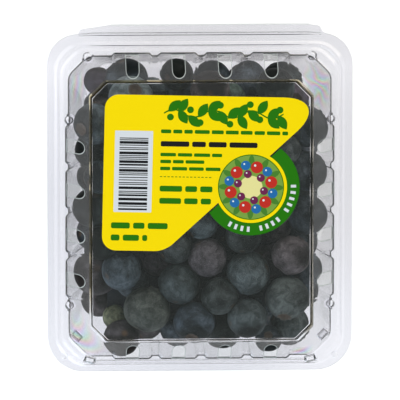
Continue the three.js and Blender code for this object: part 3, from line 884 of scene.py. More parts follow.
labelShape = {
    "corner": (-38.2, 44.0),
    "tilt": -1.4,
    "top": 90.7,
    "bottom": 25.1,
    "drop": 62.6,
    "bends": [5.6, 5.6, 10.0, 7.9],  # sharp top left, bottom left, nose foot, top right
    "thickness": 0.14,
    "lift": 0.03,
    "ink": 0.02,
    "emblem": (58.8, -36.2),
    "bandRadius": 19.4,
    "ringRadius": 14.4,
    "pictureRadius": 12.8,
}
labelColours = {
    "yellow": (1.0, 0.735, 0.0),
    "green": (0.019, 0.178, 0.004),
    "black": (0.012, 0.012, 0.014),
    "white": (0.72, 0.74, 0.80),
    "meadow": (0.20, 0.36, 0.06),
    "cream": (0.83, 0.76, 0.33),
    "leaf": (0.07, 0.22, 0.03),
    "red": (0.55, 0.03, 0.02),
    "blue": (0.02, 0.15, 0.42),
    "plum": (0.16, 0.02, 0.08),
    "pale": (0.75, 0.80, 0.82),
}
paper = {"grain": 900.0, "clouds": 60.0, "grainShade": 0.96, "cloudShade": 0.97, "roughness": (0.38, 0.5),
         "gloss": 0.1}
labelHeight = lidShape["plateauTop"] - lidShape["panelDepth"] + labelShape["lift"]


def paperMaterial(name, colour):
    material, tree, shader = newMaterial(name)
    place = addNode(tree, "TexCoord")
    grain = addNode(tree, "TexNoise", Vector=place.outputs["Object"], Scale=paper["grain"], Detail=3.0)
    broad = addNode(tree, "TexNoise", Vector=place.outputs["Object"], Scale=paper["clouds"], Detail=2.0)
    shade = mixColour(tree, grain.outputs["Fac"], scaled(colour, paper["grainShade"]), scaled(colour))
    toned = mixColour(tree, broad.outputs["Fac"], shade, scaled(colour, paper["cloudShade"]))
    tree.links.new(toned, shader.inputs["Base Color"])
    rough = rampNode(tree, broad.outputs["Fac"], 0.0, 1.0, *paper["roughness"], soft=False)
    tree.links.new(rough, shader.inputs["Roughness"])
    shader.inputs["Specular IOR Level"].default_value = paper["gloss"]
    return material


inks = {name: paperMaterial("ink" + name.capitalize(), colour) for name, colour in labelColours.items()}


def placeLabel(bm, height):
    # from the label's own corner to its place on the lid
    turn = Matrix.Rotation(math.radians(labelShape["tilt"]), 4, "Z")
    x, y = labelShape["corner"]
    move = Matrix.Translation((x * mm, y * mm, height * mm))
    bmesh.ops.transform(bm, matrix=move @ turn, verts=bm.verts)


def raiseFaces(bm, faces, thickness):
    made = bmesh.ops.extrude_face_region(bm, geom=faces)
    high = [v for v in made["geom"] if isinstance(v, bmesh.types.BMVert)]
    bmesh.ops.translate(bm, verts=high, vec=(0, 0, thickness * mm))
    bmesh.ops.recalc_face_normals(bm, faces=bm.faces)


def finishLabelPiece(name, bm, ink, level):
    placeLabel(bm, labelHeight + level)
    piece = newObject(name, bm, inks[ink])
    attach(piece, "lid")
    return piece


def makeLabelSheet():
    bm = bmesh.new()
    drop = -labelShape["drop"]
    sharp = [(0, 0), (0, drop), (labelShape["bottom"], drop), (labelShape["top"], 0)]
    verts = [bm.verts.new((x * mm, y * mm, 0)) for x, y in sharp]
    bm.faces.new(verts)
    for index, radius in enumerate(labelShape["bends"]):
        corner = Vector(sharp[index])
        before = (Vector(sharp[index - 1]) - corner).normalized()
        after = (Vector(sharp[(index + 1) % 4]) - corner).normalized()
        reach = radius / math.tan(before.angle(after) / 2)
        bmesh.ops.bevel(bm, geom=[verts[index]], offset=reach * mm, affect="VERTICES", segments=14,
                        profile=0.5, material=-1)
    raiseFaces(bm, list(bm.faces), labelShape["thickness"])
    sheet = finishLabelPiece("labelSheet", bm, "yellow", 0)
    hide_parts("label")


def addDisc(bm, x, y, radius, level, segments, squeeze=1.0, turn=0.0, pointed=False):
    made = bmesh.ops.create_circle(bm, cap_ends=True, segments=segments, radius=radius * mm)
    verts = made["verts"]
    face = verts[0].link_faces[0]
    up = bmesh.ops.extrude_face_region(bm, geom=[face])["geom"]
    high = [v for v in up if isinstance(v, bmesh.types.BMVert)]
    bmesh.ops.translate(bm, verts=high, vec=(0, 0, labelShape["ink"] * mm))
    both = verts + high
    if pointed:
        for vert in both:
            vert.co.y *= abs(vert.co.y) / (radius * mm)
    bmesh.ops.scale(bm, verts=both, vec=(1, squeeze, 1))
    bmesh.ops.rotate(bm, verts=both, cent=(0, 0, 0), matrix=Matrix.Rotation(turn, 3, "Z"))
    bmesh.ops.translate(bm, verts=both, vec=(x * mm, y * mm, level * mm))


def addBar(bm, left, right, low, high):
    verts = bmesh.ops.create_cube(bm, size=1)["verts"]
    ink = labelShape["ink"]
    bmesh.ops.scale(bm, verts=verts, vec=((right - left) * mm, (high - low) * mm, ink * mm))
    bmesh.ops.translate(bm, verts=verts, vec=((left + right) / 2 * mm, (low + high) / 2 * mm, ink / 2 * mm))
    return verts


def roundBar(bm, left, right, low, high, bend):
    edges = uprightEdges(addBar(bm, left, right, low, high))
    bmesh.ops.bevel(bm, geom=edges, offset=bend * mm, affect="EDGES", segments=6, profile=0.5, material=-1)


printShape = {
    "seed": 41,
    # rows of short bars: left, right, middle height, bar height, usual length
    "green": [(22.5, 73.0, -14.4, 1.5, 4.6), (22.5, 47.0, -23.7, 1.35, 5.2), (22.5, 40.0, -26.5, 1.35, 6.0),
              (22.5, 46.5, -29.3, 1.35, 5.5), (22.5, 43.5, -37.4, 2.3, 7.5), (22.5, 43.0, -42.3, 2.3, 7.0),
              (3.5, 26.0, -52.5, 2.4, 6.5), (3.5, 18.0, -57.4, 2.4, 5.0)],
    "black": [(22.5, 61.0, -19.4, 2.1, 8.5)],
    "lengths": (0.6, 1.35),
    "shortest": 1.0,
    "lastLength": 0.45,
    "gap": 0.55,  # of a bar's height
    "bend": 0.3,
    "rule": {"left": 22.5, "low": -32.75, "high": -32.45, "dash": 0.9, "pitch": 1.5, "count": 14},
    "panel": (4.3, 19.4, -47.1, -14.4),
    "bars": {"left": 6.2, "right": 17.6, "from": -17.2, "to": -45.6, "widths": (0.35, 0.35, 0.7, 1.05),
             "gaps": (0.35, 0.35, 0.7)},
}
sprig = {
    "left": 23.5, "right": 71.0, "middle": -7.1, "thick": 0.6, "wave": 1.5, "length": 15.6, "cuts": 60,
    "steps": 12, "first": 2.2, "pitch": 3.95, "lift": 0.006,
    "leaf": 3.3, "leafSqueeze": 0.55, "leafReach": 0.8, "leans": (0.75, 1.0),
    "fruit": 1.35, "fruitOut": 2.7, "fruitAlong": 0.4,
}


def addSprig(bm):
    # a wavy stem with a leaf or a round fruit at every step, each a hair higher than what it crosses
    def height(x):
        return sprig["middle"] + sprig["wave"] * math.sin((x - sprig["left"]) / sprig["length"] * math.tau)

    stem = bmesh.new()
    addBar(stem, sprig["left"], sprig["right"], -sprig["thick"] / 2, sprig["thick"] / 2)
    alongX = [e for e in stem.edges if abs(e.verts[0].co.x - e.verts[1].co.x) > mm]
    bmesh.ops.subdivide_edges(stem, edges=alongX, cuts=sprig["cuts"])
    for vert in stem.verts:
        vert.co.y += height(vert.co.x / mm) * mm
    mergeInto(bm, stem)
    reach = sprig["leaf"] * sprig["leafReach"]
    for step in range(sprig["steps"]):
        x = sprig["left"] + sprig["first"] + step * sprig["pitch"]
        for side in (1, -1):
            lift = sprig["lift"] * (1 + step % 2 + (side > 0) * 2)
            if (step + (side > 0)) % 3 == 0:
                y = height(x) + side * sprig["fruitOut"]
                addDisc(bm, x + sprig["fruitAlong"], y, sprig["fruit"], lift, 24)
                continue
            lean = side * sprig["leans"][step % 2]
            y = height(x) + reach * math.sin(lean)
            addDisc(bm, x + reach * math.cos(lean), y, sprig["leaf"], lift, 28, sprig["leafSqueeze"], lean,
                    pointed=True)


def makePrint():
    draw = random.Random(printShape["seed"])
    top = labelShape["thickness"]
    for ink in ("green", "black"):
        bm = bmesh.new()
        for left, right, middle, height, usual in printShape[ink]:
            x = left
            while x < right - printShape["shortest"]:
                length = usual * draw.uniform(*printShape["lengths"])
                isLast = right - (x + length) < usual * printShape["lastLength"]
                end = right if isLast else x + length
                roundBar(bm, x, end, middle - height / 2, middle + height / 2, height * printShape["bend"])
                x = end + height * printShape["gap"]
        if ink == "green":
            rule = printShape["rule"]
            for step in range(rule["count"]):
                x = rule["left"] + step * rule["pitch"]
                addBar(bm, x, x + rule["dash"], rule["low"], rule["high"])
            addSprig(bm)
        finishLabelPiece("labelPrint" + ink.capitalize(), bm, ink, top)
    bm = bmesh.new()
    roundBar(bm, *printShape["panel"], printShape["bend"])
    finishLabelPiece("labelPanel", bm, "white", top)
    bm = bmesh.new()
    bars = printShape["bars"]
    y = bars["from"]
    while y > bars["to"]:
        width = draw.choice(bars["widths"])
        addBar(bm, bars["left"], bars["right"], y - width, y)
        y -= width + draw.choice(bars["gaps"])
    finishLabelPiece("labelBars", bm, "black", top + labelShape["ink"])


emblem = {
    "outline": 0.35,
    "level": 0.02,  # from one layer of print to the next
    "cream": 4.6,
    "leaves": {"count": 12, "out": 10.2, "size": 2.6, "squeeze": 0.45},
    # colour, turn, distance from the middle, radius
    "fruit": [("red", 0.0, 8.3, 2.4), ("blue", math.pi / 6, 9.0, 1.9), ("plum", math.pi / 6, 5.4, 1.6)],
    "fruitCount": 6,
    "fruitTurn": 0.26,
    "glint": (0.3, 0.2),  # place and size, of the fruit's radius
    "bandCut": 0.6,  # how far the band runs under the slanting edge
    "dashes": {"count": 15, "left out": (4, 9), "from": -118, "pitch": 8.6, "inner": 15.9, "outer": 18.0,
               "half": 0.55},
}


def makeEmblem():
    x, y = labelShape["emblem"]
    top = labelShape["thickness"]
    bm = bmesh.new()
    made = bmesh.ops.create_circle(bm, cap_ends=True, segments=96, radius=labelShape["bandRadius"] * mm)
    bmesh.ops.translate(bm, verts=made["verts"], vec=(x * mm, y * mm, 0))
    edge = Vector((labelShape["top"] - labelShape["bottom"], labelShape["drop"])).normalized()
    out = Vector((edge.y, -edge.x))
    cut = Vector((labelShape["bottom"], -labelShape["drop"])) + out * emblem["bandCut"]
    bmesh.ops.bisect_plane(bm, geom=list(bm.verts) + list(bm.edges) + list(bm.faces), dist=nearZero,
                           plane_co=(cut.x * mm, cut.y * mm, 0), plane_no=(out.x, out.y, 0), clear_inner=True)
    raiseFaces(bm, list(bm.faces), labelShape["thickness"])
    finishLabelPiece("emblemBand", bm, "green", 0)
    bm = bmesh.new()
    addDisc(bm, x, y, labelShape["ringRadius"], 0, 80)
    finishLabelPiece("emblemRing", bm, "yellow", top)
    bm = bmesh.new()
    addDisc(bm, x, y, labelShape["pictureRadius"] + emblem["outline"], 0, 80)
    level = emblem["level"]
    finishLabelPiece("emblemOutline", bm, "green", top + level)
    # a wreath of leaves and round fruit about a pale middle
    layers = {name: bmesh.new() for name in ("meadow", "cream", "leaf", "red", "blue", "plum", "pale")}
    addDisc(layers["meadow"], x, y, labelShape["pictureRadius"], 0, 80)
    addDisc(layers["cream"], x, y, emblem["cream"], level, 40)
    leaves = emblem["leaves"]
    for step in range(leaves["count"]):
        angle = step * math.tau / leaves["count"]
        addDisc(layers["leaf"], x + leaves["out"] * math.cos(angle), y + leaves["out"] * math.sin(angle),
                leaves["size"], level, 20, leaves["squeeze"], angle)
    place, size = emblem["glint"]
    for step in range(emblem["fruitCount"]):
        angle = step * math.tau / emblem["fruitCount"] + emblem["fruitTurn"]
        for name, turn, out, radius in emblem["fruit"]:
            cx = x + out * math.cos(angle + turn)
            cy = y + out * math.sin(angle + turn)
            addDisc(layers[name], cx, cy, radius, level * 2, 24)
            addDisc(layers["pale"], cx - radius * place, cy + radius * place, radius * size, level * 3, 12)
    for name, layer in layers.items():
        finishLabelPiece("emblem" + name.capitalize(), layer, name, top + level * 2)
    bm = bmesh.new()
    dashes = emblem["dashes"]
    for step in range(dashes["count"]):
        if step in dashes["left out"]:
            continue
        angle = math.radians(dashes["from"] + step * dashes["pitch"])
        verts = addBar(bm, dashes["inner"], dashes["outer"], -dashes["half"], dashes["half"])
        bmesh.ops.rotate(bm, verts=verts, cent=(0, 0, 0), matrix=Matrix.Rotation(angle, 3, "Z"))
        bmesh.ops.translate(bm, verts=verts, vec=(x * mm, y * mm, 0))
    finishLabelPiece("emblemDashes", bm, "white", top)


makeLabelSheet()
makePrint()
makeEmblem()
print("label made")


heap = {
    "seed": 20715,
    "free": 120,
    "smallest": 12.5,
    "largest": 17.5,
    "clearance": 0.2,
    "corner": 12.0,
    "cornerShrink": 0.5,  # of a berry's radius
    "topOverlap": 0.86,
    "steps": 260,
    "drop": 0.03,
    "squeeze": 2.2,
    "apart": 0.001,  # keeps two middles in one place from dividing by nothing
    "paintedWallShade": 8.0,  # nearer to a wall than this the bloom is thinned, painted shade that darkens the berries there
    "paintedWallShadeMost": 0.5,
}

# x, y, diameter of the berries that show through the lid, the uppermost first
topBerries = [
    (-21.3, -44.3, 18.8), (-31.7, -28.3, 16.2), (19.1, -29.7, 17.6), (34.7, -40, 17.6),
    (36.3, -22.6, 16), (18.7, -47.9, 16), (-8.5, -33.9, 16.8), (-2.5, -49.5, 16.8), (2.7, -23.1, 15.6),
    (-10.5, -18.3, 14.8), (17.1, -14.5, 14.4), (27.6, -58.3, 10.8), (7.7, -38.8, 15.2),
    (36.3, -53.6, 16), (-31.5, -56.8, 14.4), (-42.1, 30.2, 16.4), (-42.5, -3.6, 16.4),
    (-41.3, -30.9, 18), (43.1, 28.4, 16.4), (42.7, 10.6, 16), (43.1, -7.2, 15.8), (-27.7, 41.2, 17.6),
    (3.9, 44.3, 15.6), (11.5, 39.2, 14.4), (29.9, 45.1, 15.6), (36.3, 39.2, 15.2), (-4.9, 43.9, 16),
    (20, 46.6, 14.4), (-30.1, 46.5, 16.8), (33.8, 44.2, 16.8), (-41.2, 46.4, 11.2), (-41, 18, 16),
    (-41.3, 8.6, 14.8), (-41.7, -14.9, 15.2), (41.9, -29.4, 14.4), (-37.7, -43.2, 15.6),
    (-33.3, -49.4, 12), (5.5, 47.1, 15.2), (-8.9, 46.7, 16.8),
]

# the room inside the shut pack, worked out as the solids have it
room = {"sheet": 0.6, "gap": 0.3, "dome": 15, "run": 9.3, "bead": 1.2, "panel": 0.9, "heel": 2.4, "lean": 7.4,
        "floor": 1.6}
domeLean = room["run"] / room["dome"]
wallInset = room["sheet"] * math.sqrt(1 + domeLean * domeLean)
insideFloor = room["floor"] + room["sheet"] + heap["clearance"]
lidFlangeTop = pack["seam"] + room["gap"] / 2 + room["sheet"]
insideTop = lidFlangeTop + room["dome"] - room["panel"] - room["sheet"] - heap["clearance"]
trayLean = room["lean"] / (pack["seam"] - room["gap"] / 2 - room["sheet"] - room["heel"])
lidLean = room["run"] / (room["dome"] - room["bead"])
trayGrip = math.sqrt(1 + trayLean * trayLean)
lidGrip = math.sqrt(1 + lidLean * lidLean)


def wallLimits(height, radius=0.0):
    # how far a ball's middle may be from the flange's middle: across, to the front, to the back
    limits = []
    for reach in ribFoot[:3]:
        free = reach - wallInset - heap["clearance"]
        byTray = free - (pack["seam"] - height) * trayLean - radius * trayGrip
        byLid = free - (height - lidFlangeTop - room["bead"]) * lidLean - radius * lidGrip
        limits.append(min(byTray, byLid))
    return limits


def keepInside(berry):
    x, y, z, radius = berry[:4]
    z = max(z, insideFloor + radius)
    z = min(z, insideTop - radius)
    across, front, back = wallLimits(z, radius)
    x = max(-across, min(across, x))
    y = max(middleY - front, min(middleY + back, y))
    bend = heap["corner"] - radius * heap["cornerShrink"]
    cornerX = across - bend
    cornerY = middleY + back - bend if y > middleY else middleY - front + bend
    beyondX = abs(x) - cornerX
    beyondY = abs(y - middleY) - abs(cornerY - middleY)
    if beyondX > 0 and beyondY > 0:
        beyond = math.sqrt(beyondX * beyondX + beyondY * beyondY)
        if beyond > bend:
            x = (1 if x > 0 else -1) * (cornerX + beyondX * bend / beyond)
            offset = abs(cornerY - middleY) + beyondY * bend / beyond
            y = middleY + (1 if y > middleY else -1) * offset
    berry[0], berry[1], berry[2] = x, y, z


def placeTopBerries():
    # each lies as high as the lid and the berries above it let it
    placed = []
    for x, y, diameter in topBerries:
        radius = diameter / 2
        z = insideTop - radius
        for reach, offset in zip(ribFoot, (abs(x), middleY - y, y - middleY)):
            free = reach - wallInset - heap["clearance"]
            z = min(z, lidFlangeTop + room["bead"] + (free - radius * lidGrip - offset) / lidLean)
        for other in placed:
            reach = (radius + other[3]) * heap["topOverlap"]
            gapX, gapY = x - other[0], y - other[1]
            across = gapX * gapX + gapY * gapY
            if across < reach * reach:
                z = min(z, other[2] - math.sqrt(reach * reach - across))
        berry = [x, y, z, radius, True]
        keepInside(berry)
        placed.append(berry)
    return placed


def heapBerries():
    # the same heap as in the solids: named berries under the lid, the rest settled round them
    step, period = 16807, 2147483647
    state = [heap["seed"]]

    def draw():
        state[0] = (state[0] * step) % period
        return state[0] / period

    berries = placeTopBerries()
    for index in range(heap["free"]):
        size = heap["smallest"] + (heap["largest"] - heap["smallest"]) * (draw() + draw()) / 2
        x = (draw() * 2 - 1) * ribFoot[0]
        y = middleY + (draw() * 2 - 1) * ribFoot[2]
        z = insideFloor + draw() * (insideTop - insideFloor)
        berry = [x, y, z, size / 2, False]
        keepInside(berry)
        berries.append(berry)
    count = len(berries)
    for turn in range(heap["steps"]):
        for first in range(count):
            one = berries[first]
            for second in range(first + 1, count):
                other = berries[second]
                if one[4] and other[4]:
                    continue
                gapX = other[0] - one[0]
                reach = one[3] + other[3]
                if gapX >= reach or gapX <= -reach:
                    continue
                gapY = other[1] - one[1]
                if gapY >= reach or gapY <= -reach:
                    continue
                gapZ = other[2] - one[2]
                distance2 = gapX * gapX + gapY * gapY + gapZ * gapZ
                if distance2 >= reach * reach:
                    continue
                distance = math.sqrt(distance2) + heap["apart"]
                push = (reach - distance) / distance
                share = 0 if one[4] else 0.5
                one[0] -= gapX * push * share
                one[1] -= gapY * push * share
                one[2] -= gapZ * push * share
                other[0] += gapX * push * (1 - share)
                other[1] += gapY * push * (1 - share)
                other[2] += gapZ * push * (1 - share)
        for berry in berries:
            if not berry[4]:
                berry[2] -= heap["drop"]
                keepInside(berry)
    kept = []
    for index, berry in enumerate(berries):
        clear = all((Vector(berry[:3]) - Vector(other[:3])).length > berry[3] + other[3] - heap["squeeze"]
                    for other in berries[:index])
        if berry[4] or clear:
            kept.append(berry)
    return kept


def sideGap(x, y, z):
    # how far a point is from the nearest side wall
    across, front, back = wallLimits(z)
    return min(across - abs(x), front + y - middleY, back - (y - middleY))


skin = {
    "bloomed": {"dark": (0.006, 0.009, 0.010), "bloom": (0.136, 0.168, 0.192), "amount": 0.54},
    "dark": {"dark": (0.005, 0.007, 0.006), "bloom": (0.114, 0.133, 0.130), "amount": 0.48},
    "reddish": {"dark": (0.012, 0.009, 0.008), "bloom": (0.160, 0.136, 0.140), "amount": 0.50},
}
waxy = {
    "crown": (0.082, 0.060, 0.045, 1),
    "scar": (0.115, 0.070, 0.040, 1),
    "covered": (0.72, 1.30),
    "wiped": (0.36, 0.66),
    "leftOn": 0.36,  # where it is wiped most
    "grain": (1.9, 0.02),
    "roughness": (0.25, 0.5),
    "gloss": 0.12,
    "bump": 0.12,
    "bumpHeight": 0.0002,
    "smoothUpTo": 60,
    "cloud": {"Scale": 1.1, "Detail": 3.0, "Roughness": 0.5},
    "rub": {"Scale": 2.3, "Detail": 5.0, "Roughness": 0.66, "Distortion": 0.8},
    "speck": {"Scale": 16.0, "Detail": 3.0, "Roughness": 0.7},
}


def bloomGroup():
    # pale wax in clouds over a dark skin, wiped off in places, with a brownish crown and stem scar
    group, entry, result = newGroup("waxyBloom", [
        ("Point", "Vector", None), ("Dark", "Color", (0, 0, 0, 1)), ("Bloom", "Color", (1, 1, 1, 1)),
        ("Tint", "Vector", (1, 1, 1)), ("Amount", "Float", 0.5), ("Crown", "Float", 0.0),
        ("Scar", "Float", 0.0),
    ], [("Colour", "Color"), ("Roughness", "Float"), ("Height", "Float")])
    point = entry.outputs["Point"]
    cloud = addNode(group, "TexNoise", Vector=point, **waxy["cloud"])
    rub = addNode(group, "TexNoise", Vector=point, **waxy["rub"])
    speck = addNode(group, "TexNoise", Vector=point, **waxy["speck"])
    cover = mathNode(group, "ADD", cloud.outputs["Fac"], entry.outputs["Amount"])
    cover = rampNode(group, cover, *waxy["covered"])
    wiped = rampNode(group, rub.outputs["Fac"], *waxy["wiped"], waxy["leftOn"])
    coat = mathNode(group, "MULTIPLY", cover, wiped)
    grain = mathNode(group, "MULTIPLY_ADD", speck.outputs["Fac"], waxy["grain"][0], third=waxy["grain"][1])
    coat = mathNode(group, "MULTIPLY", coat, grain, True)
    bloom = mixColour(group, 1.0, entry.outputs["Bloom"], entry.outputs["Tint"], "MULTIPLY")
    colour = mixColour(group, coat, entry.outputs["Dark"], bloom)
    colour = mixColour(group, entry.outputs["Crown"], colour, waxy["crown"])
    colour = mixColour(group, entry.outputs["Scar"], colour, waxy["scar"])
    rough = mathNode(group, "MULTIPLY_ADD", coat, waxy["roughness"][0], third=waxy["roughness"][1])
    group.links.new(colour, result.inputs["Colour"])
    group.links.new(rough, result.inputs["Roughness"])
    group.links.new(speck.outputs["Fac"], result.inputs["Height"])
    return group


waxyBloom = bloomGroup()


# what each vertex of a berry carries for its skin
berryLayers = {"berryPoint": "float_vector", "bloomTint": "float_vector", "bloomAmount": "float",
               "crown": "float", "scar": "float"}


def berryMaterial(kind):
    look = skin[kind]
    material, tree, shader = newMaterial("berrySkin" + kind.capitalize())
    marks = {name: addNode(tree, "Attribute", {"attribute_name": name}).outputs for name in berryLayers}
    bloom = useGroup(tree, waxyBloom, Dark=scaled(look["dark"]), Bloom=scaled(look["bloom"]),
                     Point=marks["berryPoint"]["Vector"], Tint=marks["bloomTint"]["Vector"],
                     Amount=marks["bloomAmount"]["Fac"], Crown=marks["crown"]["Fac"],
                     Scar=marks["scar"]["Fac"])
    tree.links.new(bloom.outputs["Colour"], shader.inputs["Base Color"])
    tree.links.new(bloom.outputs["Roughness"], shader.inputs["Roughness"])
    bump = addNode(tree, "Bump", Height=bloom.outputs["Height"], Strength=waxy["bump"],
                   Distance=waxy["bumpHeight"])
    tree.links.new(bump.outputs["Normal"], shader.inputs["Normal"])
    shader.inputs["Specular IOR Level"].default_value = waxy["gloss"]
    return material


berryShape = {
    # rings from the crown to the stem end: angle from the pole, size
    "rings": [(4, 0.80), (8, 0.80), (11, 0.83), (13.5, 0.92), (15.5, 1.0), (17.5, 1.03), (19.5, 1.01),
              (22, 0.975), (26, 0.975), (32, 0.99), (40, 1.0), (50, 1.0), (61, 1.0), (72, 1.0), (83, 1.0),
              (94, 1.0), (105, 1.0), (116, 1.0), (127, 1.0), (138, 1.0), (149, 1.0), (158, 1.0),
              (165, 0.985), (170, 0.965), (174.5, 0.93)],
    "poles": (0.79, 0.93),
    "round": 30,  # vertices in a ring
    "crownLobes": 2.5,
    "crownRim": (14, 17.5, 21),
    "crownWave": (0.07, 1.5),  # in size, in degrees
    "lobePower": 0.8,
    "lobeMiddle": 0.45,
    "crownTo": 19.5,
    "crownFade": 4,  # degrees
    "scarFrom": 168,
    "scarFade": 5,
    "lumps": ((1.3, 0.03), (3.1, 0.01)),  # how close, how high
    "namedSquash": (0.94, 0.98),
    "freeSquash": (0.9, 0.96),
    "width": (0.97, 1.0),
    "grow": 1.02,
}


def plainBall():
    bm = bmesh.new()
    rows = len(berryShape["rings"]) + 1
    bmesh.ops.create_uvsphere(bm, u_segments=berryShape["round"], v_segments=rows, radius=1)
    mesh = bpy.data.meshes.new("plainBall")
    bm.to_mesh(mesh)
    bm.free()
    return mesh


def shapeBerry(verts, layers, berry, look):
    # turns a plain ball's vertices into one berry
    x, y, z, radius = berry[:4]
    shape = berryShape
    draw = random.Random(look["seed"])
    squash = draw.uniform(*shape["namedSquash" if look["named"] else "freeSquash"])
    shift = Vector((draw.uniform(0, 90), draw.uniform(0, 90), draw.uniform(0, 90)))
    lobeTurn = draw.uniform(0, 6)
    wide = draw.uniform(*shape["width"])
    rings = [(0.0, shape["poles"][0]), *shape["rings"], (180.0, shape["poles"][1])]
    rimFrom, rimTop, rimTo = shape["crownRim"]
    for vert in verts:
        polar = math.degrees(math.acos(max(-1, min(1, vert.co.z))))
        angle, size = rings[round(polar / 180 * (len(rings) - 1))]
        around = math.atan2(vert.co.y, vert.co.x)
        lobes = abs(math.cos(shape["crownLobes"] * around + lobeTurn))
        if rimFrom < angle < rimTo:
            higher, wider = shape["crownWave"]
            lobe = lobes ** shape["lobePower"] - shape["lobeMiddle"]
            size += higher * lobe * (1 - abs(angle - rimTop) / shape["crownFade"])
            angle += wider * lobes
        theta = math.radians(angle)
        across = math.sin(theta)
        out = Vector((across * math.cos(around), across * math.sin(around), math.cos(theta)))
        lump = sum(noise.noise(out * close + shift) * high for close, high in shape["lumps"])
        vert[layers["berryPoint"]] = out + shift
        vert[layers["bloomTint"]] = look["tint"]
        vert[layers["crown"]] = smoothStep((shape["crownTo"] - angle) / shape["crownFade"])
        vert[layers["scar"]] = look["scar"] * smoothStep((angle - shape["scarFrom"]) / shape["scarFade"])
        point = out * (size * (1 + lump))
        vert.co = Vector((point.x, point.y * wide, point.z * squash))
    scale = Matrix.Scale(radius * shape["grow"] * mm, 4)
    turn = look["axis"].normalized().to_track_quat("Z", "Y").to_matrix().to_4x4()
    spin = Matrix.Rotation(draw.uniform(0, math.tau), 4, "Z")
    move = Matrix.Translation((x * mm, y * mm, z * mm))
    matrix = move @ turn @ spin @ scale
    for vert in verts:  # bloom is thinned beside the walls, painted shade that darkens the berries there
        vert.co = matrix @ vert.co
        fromWall = sideGap(vert.co.x / mm, vert.co.y / mm, vert.co.z / mm)
        paintedWallShade = heap["paintedWallShadeMost"] * smoothStep(1 - fromWall / heap["paintedWallShade"])
        vert[layers["bloomAmount"]] = look["bloom"] - paintedWallShade


# how single berries under the lid differ: kind, bloom, where the crown points, tint
plainTint = (1, 1, 1)
namedLooks = {
    0: ("dark", 0.58, (0.5, 0.9, -0.2), (1.12, 1.06, 0.94)),
    1: ("bloomed", 0.54, (0.7, 0.2, -0.5), (0.95, 0.98, 1.0)),
    2: ("dark", 0.60, (-0.8, -0.3, -0.3), (0.95, 1.0, 1.05)),
    3: ("dark", 0.64, (-0.15, -0.8, 0.55), (1.05, 1.03, 1.0)),
    4: ("reddish", 0.58, (0.6, 0.7, -0.2), plainTint),
    5: ("dark", 0.62, (0.9, 0.2, -0.3), (0.95, 1.0, 1.06)),
    6: ("dark", 0.52, (0.2, 0.9, -0.4), (0.85, 0.92, 0.98)),
    7: ("bloomed", 0.48, (-0.15, -0.7, 0.7), (0.9, 0.95, 1.05)),
    8: ("reddish", 0.60, (0.4, -0.7, -0.3), (0.9, 0.95, 1.0)),
    9: ("dark", 0.44, (0.7, 0.5, -0.5), plainTint),
    10: ("dark", 0.42, (0.1, 0.8, -0.5), plainTint),
    11: ("bloomed", 0.46, (-0.05, 0.4, 0.9), plainTint),
    12: ("dark", 0.46, (-0.7, 0.5, -0.5), plainTint),
    13: ("dark", 0.54, (0.8, -0.4, -0.3), plainTint),
    14: ("reddish", 0.50, (-0.15, -0.44, -0.88), (0.9, 0.95, 1.0)),
    21: ("bloomed", 1.05, (0.18, 0.50, 0.85), (1.3, 1.25, 1.1)),
    23: ("dark", 0.80, (0.5, -0.5, -0.3), (0.95, 1.15, 0.95)),
    25: ("reddish", 0.76, (0.3, 0.1, 0.95), (1.0, 0.95, 1.15)),
    30: ("reddish", 0.56, (0.3, 0.6, -0.6), (0.9, 0.9, 1.2)),
    32: ("dark", 0.48, (0.6, 0.1, -0.8), plainTint),
    35: ("reddish", 0.54, (0.5, 0.5, -0.7), plainTint),
    36: ("dark", 1.0, (0.5, 0.6, -0.6), (1.75, 1.6, 1.0)),
}


# other berries are drawn at random from these
chances = {"kinds": (0.45, 0.38, 0.17), "bloom": (0.8, 1.15), "upOrDown": (-0.9, 0.45),
           "tint": ((0.94, 1.08), (0.97, 1.04), (0.94, 1.06)), "seed": 5}
clearScar = 14  # the berry whose stem scar shows
faintScar = 0.35

# berries that are shoved after the heap has settled: x, y, z, radius
shoved = {
    14: (-31.4, -56.7, 36.4, 7.2), 26: (-5.9, 42.4, 29.0, 7.6), 28: (-28.9, 46.9, 29.2, 8.4),
    31: (-41.8, 18.6, 31.4, 8.0), 32: (-41.2, 6.7, 23.0, 7.5), 35: (-40.2, -43.6, 22.5, 6.8),
    36: (-33.6, -49.6, 29.5, 5.2), 38: (-9.2, 49.8, 37.4, 6.6),
}


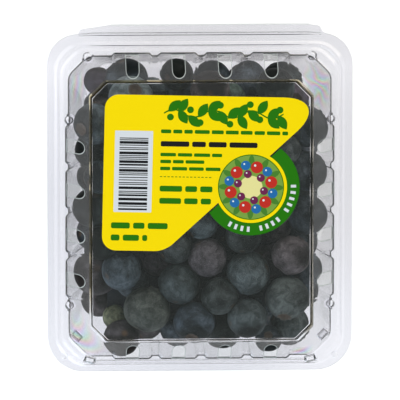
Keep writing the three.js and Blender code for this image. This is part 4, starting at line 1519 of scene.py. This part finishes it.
def makeBerries():
    berries = heapBerries()
    for index, place in shoved.items():
        berries[index][:4] = place
    draw = random.Random(chances["seed"])
    ball = plainBall()
    meshes = {kind: bmesh.new() for kind in skin}
    looks = {kind: [] for kind in skin}
    layersOf = {}
    for kind, bm in meshes.items():
        forms = bm.verts.layers
        layersOf[kind] = {name: getattr(forms, form).new(name) for name, form in berryLayers.items()}
    for index, berry in enumerate(berries):
        kind = draw.choices(list(skin), chances["kinds"])[0]
        bloom = skin[kind]["amount"] * draw.uniform(*chances["bloom"])
        axis = (draw.uniform(-1, 1), draw.uniform(-1, 1), draw.uniform(*chances["upOrDown"]))
        tint = [draw.uniform(*span) for span in chances["tint"]]
        if index in namedLooks:
            kind, bloom, axis, tint = namedLooks[index]
        meshes[kind].from_mesh(ball)
        looks[kind].append((berry, {"seed": index + 7, "axis": Vector(axis), "bloom": bloom, "tint": tint,
                                    "named": berry[4], "scar": 1.0 if index == clearScar else faintScar}))
    for kind, bm in meshes.items():
        bm.verts.ensure_lookup_table()
        for place, (berry, look) in enumerate(looks[kind]):
            first = place * len(ball.vertices)
            shapeBerry(bm.verts[first:first + len(ball.vertices)], layersOf[kind], berry, look)
        piece = newObject("berries" + kind.capitalize(), bm, berryMaterial(kind), waxy["smoothUpTo"])
        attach(piece, "base")
        if kind == "bloomed":
            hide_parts("berries")
    bpy.data.meshes.remove(ball)


# a dark lumpy filling where no berry shows: it stands in for the berries deep in the heap and is painted near
# black as painted shade
shadeFill = {"inset": 13.0, "below": 22.0, "cuts": 17, "lumps": 0.09, "lumpHeight": 3.0, "clouds": 120.0,
        "dark": (0.004, 0.005, 0.008, 1), "pale": (0.014, 0.017, 0.026, 1), "roughness": 0.8}


def makeShadeFill():
    bm = bmesh.new()
    low = insideFloor + shadeFill["inset"]
    high = insideTop - shadeFill["below"]
    bmesh.ops.create_cube(bm, size=1)
    bmesh.ops.subdivide_edges(bm, edges=bm.edges, cuts=shadeFill["cuts"], use_grid_fill=True)
    for vert in bm.verts:
        z = low + (high - low) * (vert.co.z + 0.5)
        across, front, back = (limit - shadeFill["inset"] for limit in wallLimits(z))
        x = vert.co.x * 2 * across
        y = middleY + vert.co.y * (2 * back if vert.co.y > 0 else 2 * front)
        z += noise.noise(Vector((x, y, z)) * shadeFill["lumps"]) * shadeFill["lumpHeight"]
        vert.co = Vector((x * mm, y * mm, z * mm))
    bmesh.ops.recalc_face_normals(bm, faces=bm.faces)
    material, tree, shader = newMaterial("berryShadeFillSkin")
    place = addNode(tree, "TexCoord")
    cloud = addNode(tree, "TexNoise", Vector=place.outputs["Object"], Scale=shadeFill["clouds"], Detail=3.0)
    # painted shade: the filling is darker than the berries' bloomed skins
    colour = mixColour(tree, cloud.outputs["Fac"], shadeFill["dark"], shadeFill["pale"])
    tree.links.new(colour, shader.inputs["Base Color"])
    shader.inputs["Roughness"].default_value = shadeFill["roughness"]
    piece = newObject("berryShadeFill", bm, material, waxy["smoothUpTo"])
    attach(piece, "base")


makeBerries()
makeShadeFill()
print("berries made")
